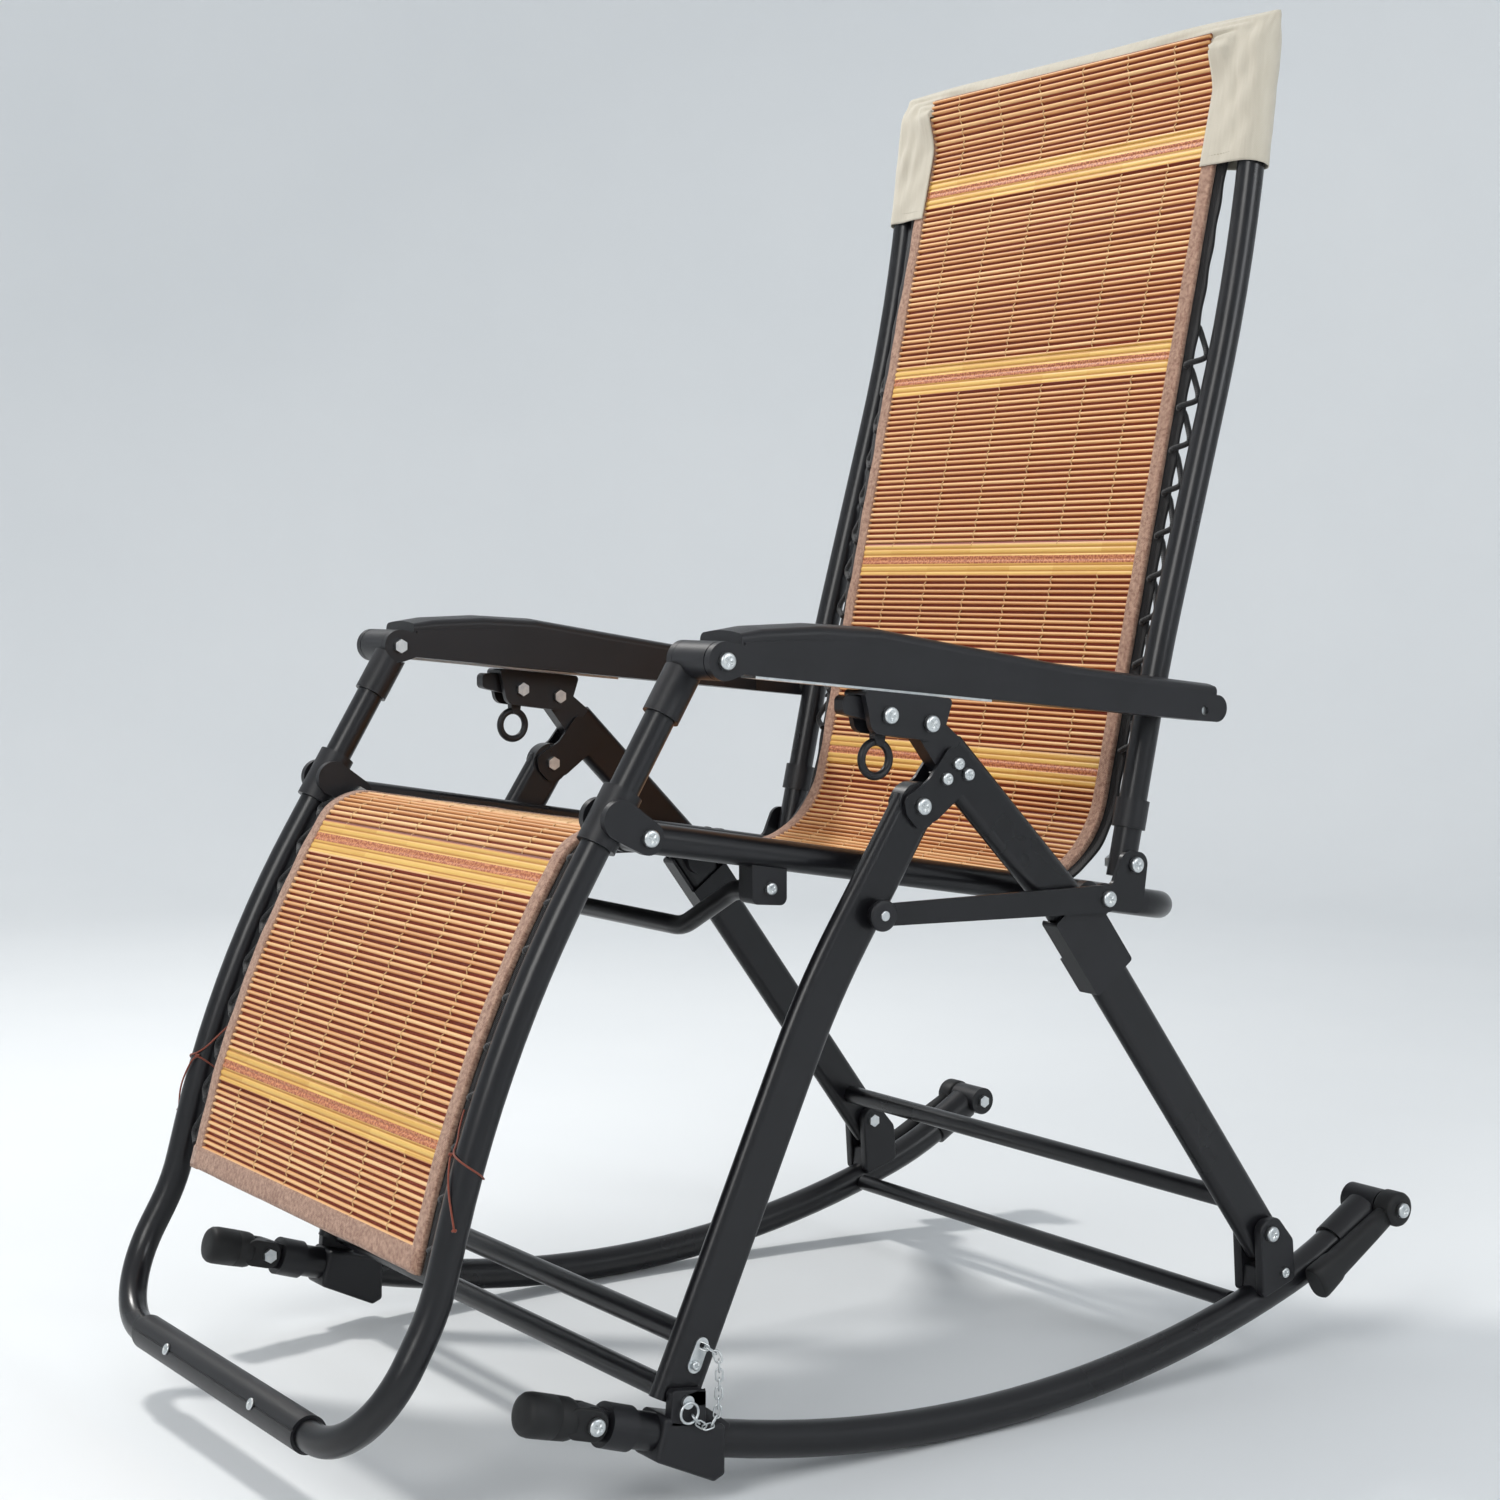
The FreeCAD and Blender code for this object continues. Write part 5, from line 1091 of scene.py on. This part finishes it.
def turnedMesh(name, start, way, profile, around):
    # a profile of distances and radii turned about an axis
    far, radius = np.array(profile).T
    turns = circle(around)
    first = unit(np.cross(way, [0.2, 0.3, 0.93]))
    second = np.cross(way, first)
    ring = first * np.cos(turns)[:, None] + second * np.sin(turns)[:, None]
    return outward(gridMesh(name, start + far[:, None, None] * way + radius[:, None, None] * ring[None]))


def frontFootMesh(name, side):  # two ears on the bolt and a round rubber end
    knuckle = np.array(frontFoot["knuckle"])
    way = unit(np.array(frontFoot["way"]))
    over = np.array([way[1], -way[0]])
    wide, long = frontFoot["ear"]
    corners = [(*(knuckle + way * far + over * wide * up), wide * frontFoot["earTurn"])
               for far, up in ((-wide, 1), (long, 1), (long, -1), (-wide, -1))]
    meshes = [plateMesh(name, corners, inner, outer, frontFoot["soft"], side)
              for inner, outer in frontFoot["earFaces"]]
    start = np.array([side * frontFoot["across"], *knuckle])
    meshes.append(turnedMesh(name, start, np.array([0.0, *way]), frontFoot["profile"], frontFoot["around"]))
    return joined(name, meshes)


def rearFootMesh(name, side):
    # a round hub on the bolt and a leg that widens to its toe: rounded boxes carried along it,
    # |x|^2.8 + |y|^2.8 = 1
    barrel = np.array(rearFoot["barrel"])
    reach = np.array(rearFoot["toe"]) - barrel
    inner, outer = rearFoot["across"]
    share, wide, high = np.array(rearFoot["rings"]).T[:, :, None]
    turns = circle(rearFoot["around"])[None]
    boxX, boxY = (np.sign(wave) * np.abs(wave) ** (2 / rearFoot["square"])
                  for wave in (np.cos(turns), np.sin(turns)))
    over = np.array([-reach[1], reach[0]]) / np.linalg.norm(reach)
    across = (inner + outer) / 2 + boxX * wide / 2
    y, z = (barrel[i] + reach[i] * share + over[i] * boxY * high / 2 for i in (0, 1))
    leg = outward(gridMesh(name, np.stack([side * across, y, z], axis=-1)))
    hub = [(far, rearFoot["hub"] - cut) for far, cut in rearFoot["rim"]]
    hub += [(outer - inner - far, radius) for far, radius in hub[::-1]]
    start = np.array([side * inner, *barrel])
    turned = turnedMesh(name, start, np.array([float(side), 0.0, 0.0]), hub, rearFoot["around"])
    return joined(name, [leg, turned])


rubber = grained("stopperRubber")
blocks = [plateMesh("saddles", *form, side) for side, word in bothSides for form in saddle.values()]
brackets = [plateMesh("legBrackets", legBracket[form], inner, outer, legBracket["soft"], side)
            for side, word in bothSides for form, inner, outer in legBracket["faces"]]
for meshes, name, node in ((blocks, "saddles", "front_saddles"),
                           (brackets, "legBrackets", "rear_leg_brackets")):
    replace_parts(mount(joined(name, meshes), plastic, "rockers"), node)
for side, word in bothSides:
    for build, end in ((frontFootMesh, "front"), (rearFootMesh, "rear")):
        body = end + "_stop_" + word.lower()
        foot = mount(build(end + "Foot" + word, side), rubber, body)
        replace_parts(foot, end + "_stopper_" + word.lower())
print("base fittings: saddles, brackets and 4 feet")

# carried-over pieces take their finish from the record's slot

finishes = {"black_paint": grained("blackPaint"), "black_plastic": plastic, "zinc": zinc,
            "stopper_rubber": rubber,
            "sling": cloth, "lacing": elastic, "bamboo": bamboo, "cotton": hoodPiece.data.materials[0]}
for part in frame["record"]["subparts"]:
    node = frame["nodes"][part["node"]]
    node.data.materials.clear()
    node.data.materials.append(finishes[part["material_slot"]])

# studio: a round paper bowl and soft lights

studio = {
    "rings": [0.02, 1.2, 2.4], "floor": 3.4, "bend": 1.6, "wall": 6.0,
    "air": (0.93, 0.96, 1.0, 1.0), "airStrength": 0.7,
    "lights": [  # name, place, target, width, watts, warmth
        ("keyLight", (-2.0, -0.7, 3.1), (0.0, 0.0, 0.4), 0.42, 66.0, (1.0, 0.98, 0.95)),
        ("frontFill", (1.6, -2.9, 2.3), (0.0, 0.0, 0.6), 1.6, 46.0, (1.0, 0.99, 0.97)),
        ("sideFill", (2.9, 0.9, 1.7), (0.0, 0.1, 0.6), 1.2, 20.0, (0.96, 0.98, 1.0)),
    ],
}


def bowlMesh(name):
    # a flat disc whose rim turns up in a quarter circle and goes on as a wall, turned round the middle
    rise = np.linspace(0, math.pi / 2, 24)
    rim = studio["floor"] + studio["bend"]
    reach = np.concatenate([studio["rings"], studio["floor"] + studio["bend"] * np.sin(rise), [rim]])
    level = np.zeros(len(studio["rings"]))
    height = np.concatenate([level, studio["bend"] * (1 - np.cos(rise)), [studio["wall"]]])
    turns = circle(96)
    points = np.stack(np.broadcast_arrays(reach[:, None] * np.cos(turns), reach[:, None] * np.sin(turns),
                                          height[:, None]), axis=-1)
    return gridMesh(name, points, capped=(True, False))


setOut(bowlMesh("studioBowl"), studioPaper())
for name, place, target, width, watts, warmth in studio["lights"]:
    lamp = bpy.data.lights.new(name, "AREA")
    lamp.shape = "DISK"
    lamp.size = width
    lamp.energy = watts
    lamp.color = warmth
    aimed(name, lamp, place, Vector(target) - Vector(place))
world = bpy.data.worlds.new("studioAir")
world.use_nodes = True
world.node_tree.nodes["Background"].inputs["Color"].default_value = studio["air"]
world.node_tree.nodes["Background"].inputs["Strength"].default_value = studio["airStrength"]
bpy.context.scene.world = world
bpy.context.scene.view_settings.view_transform = "Standard"
print("studio: bowl and", len(studio["lights"]), "lights")
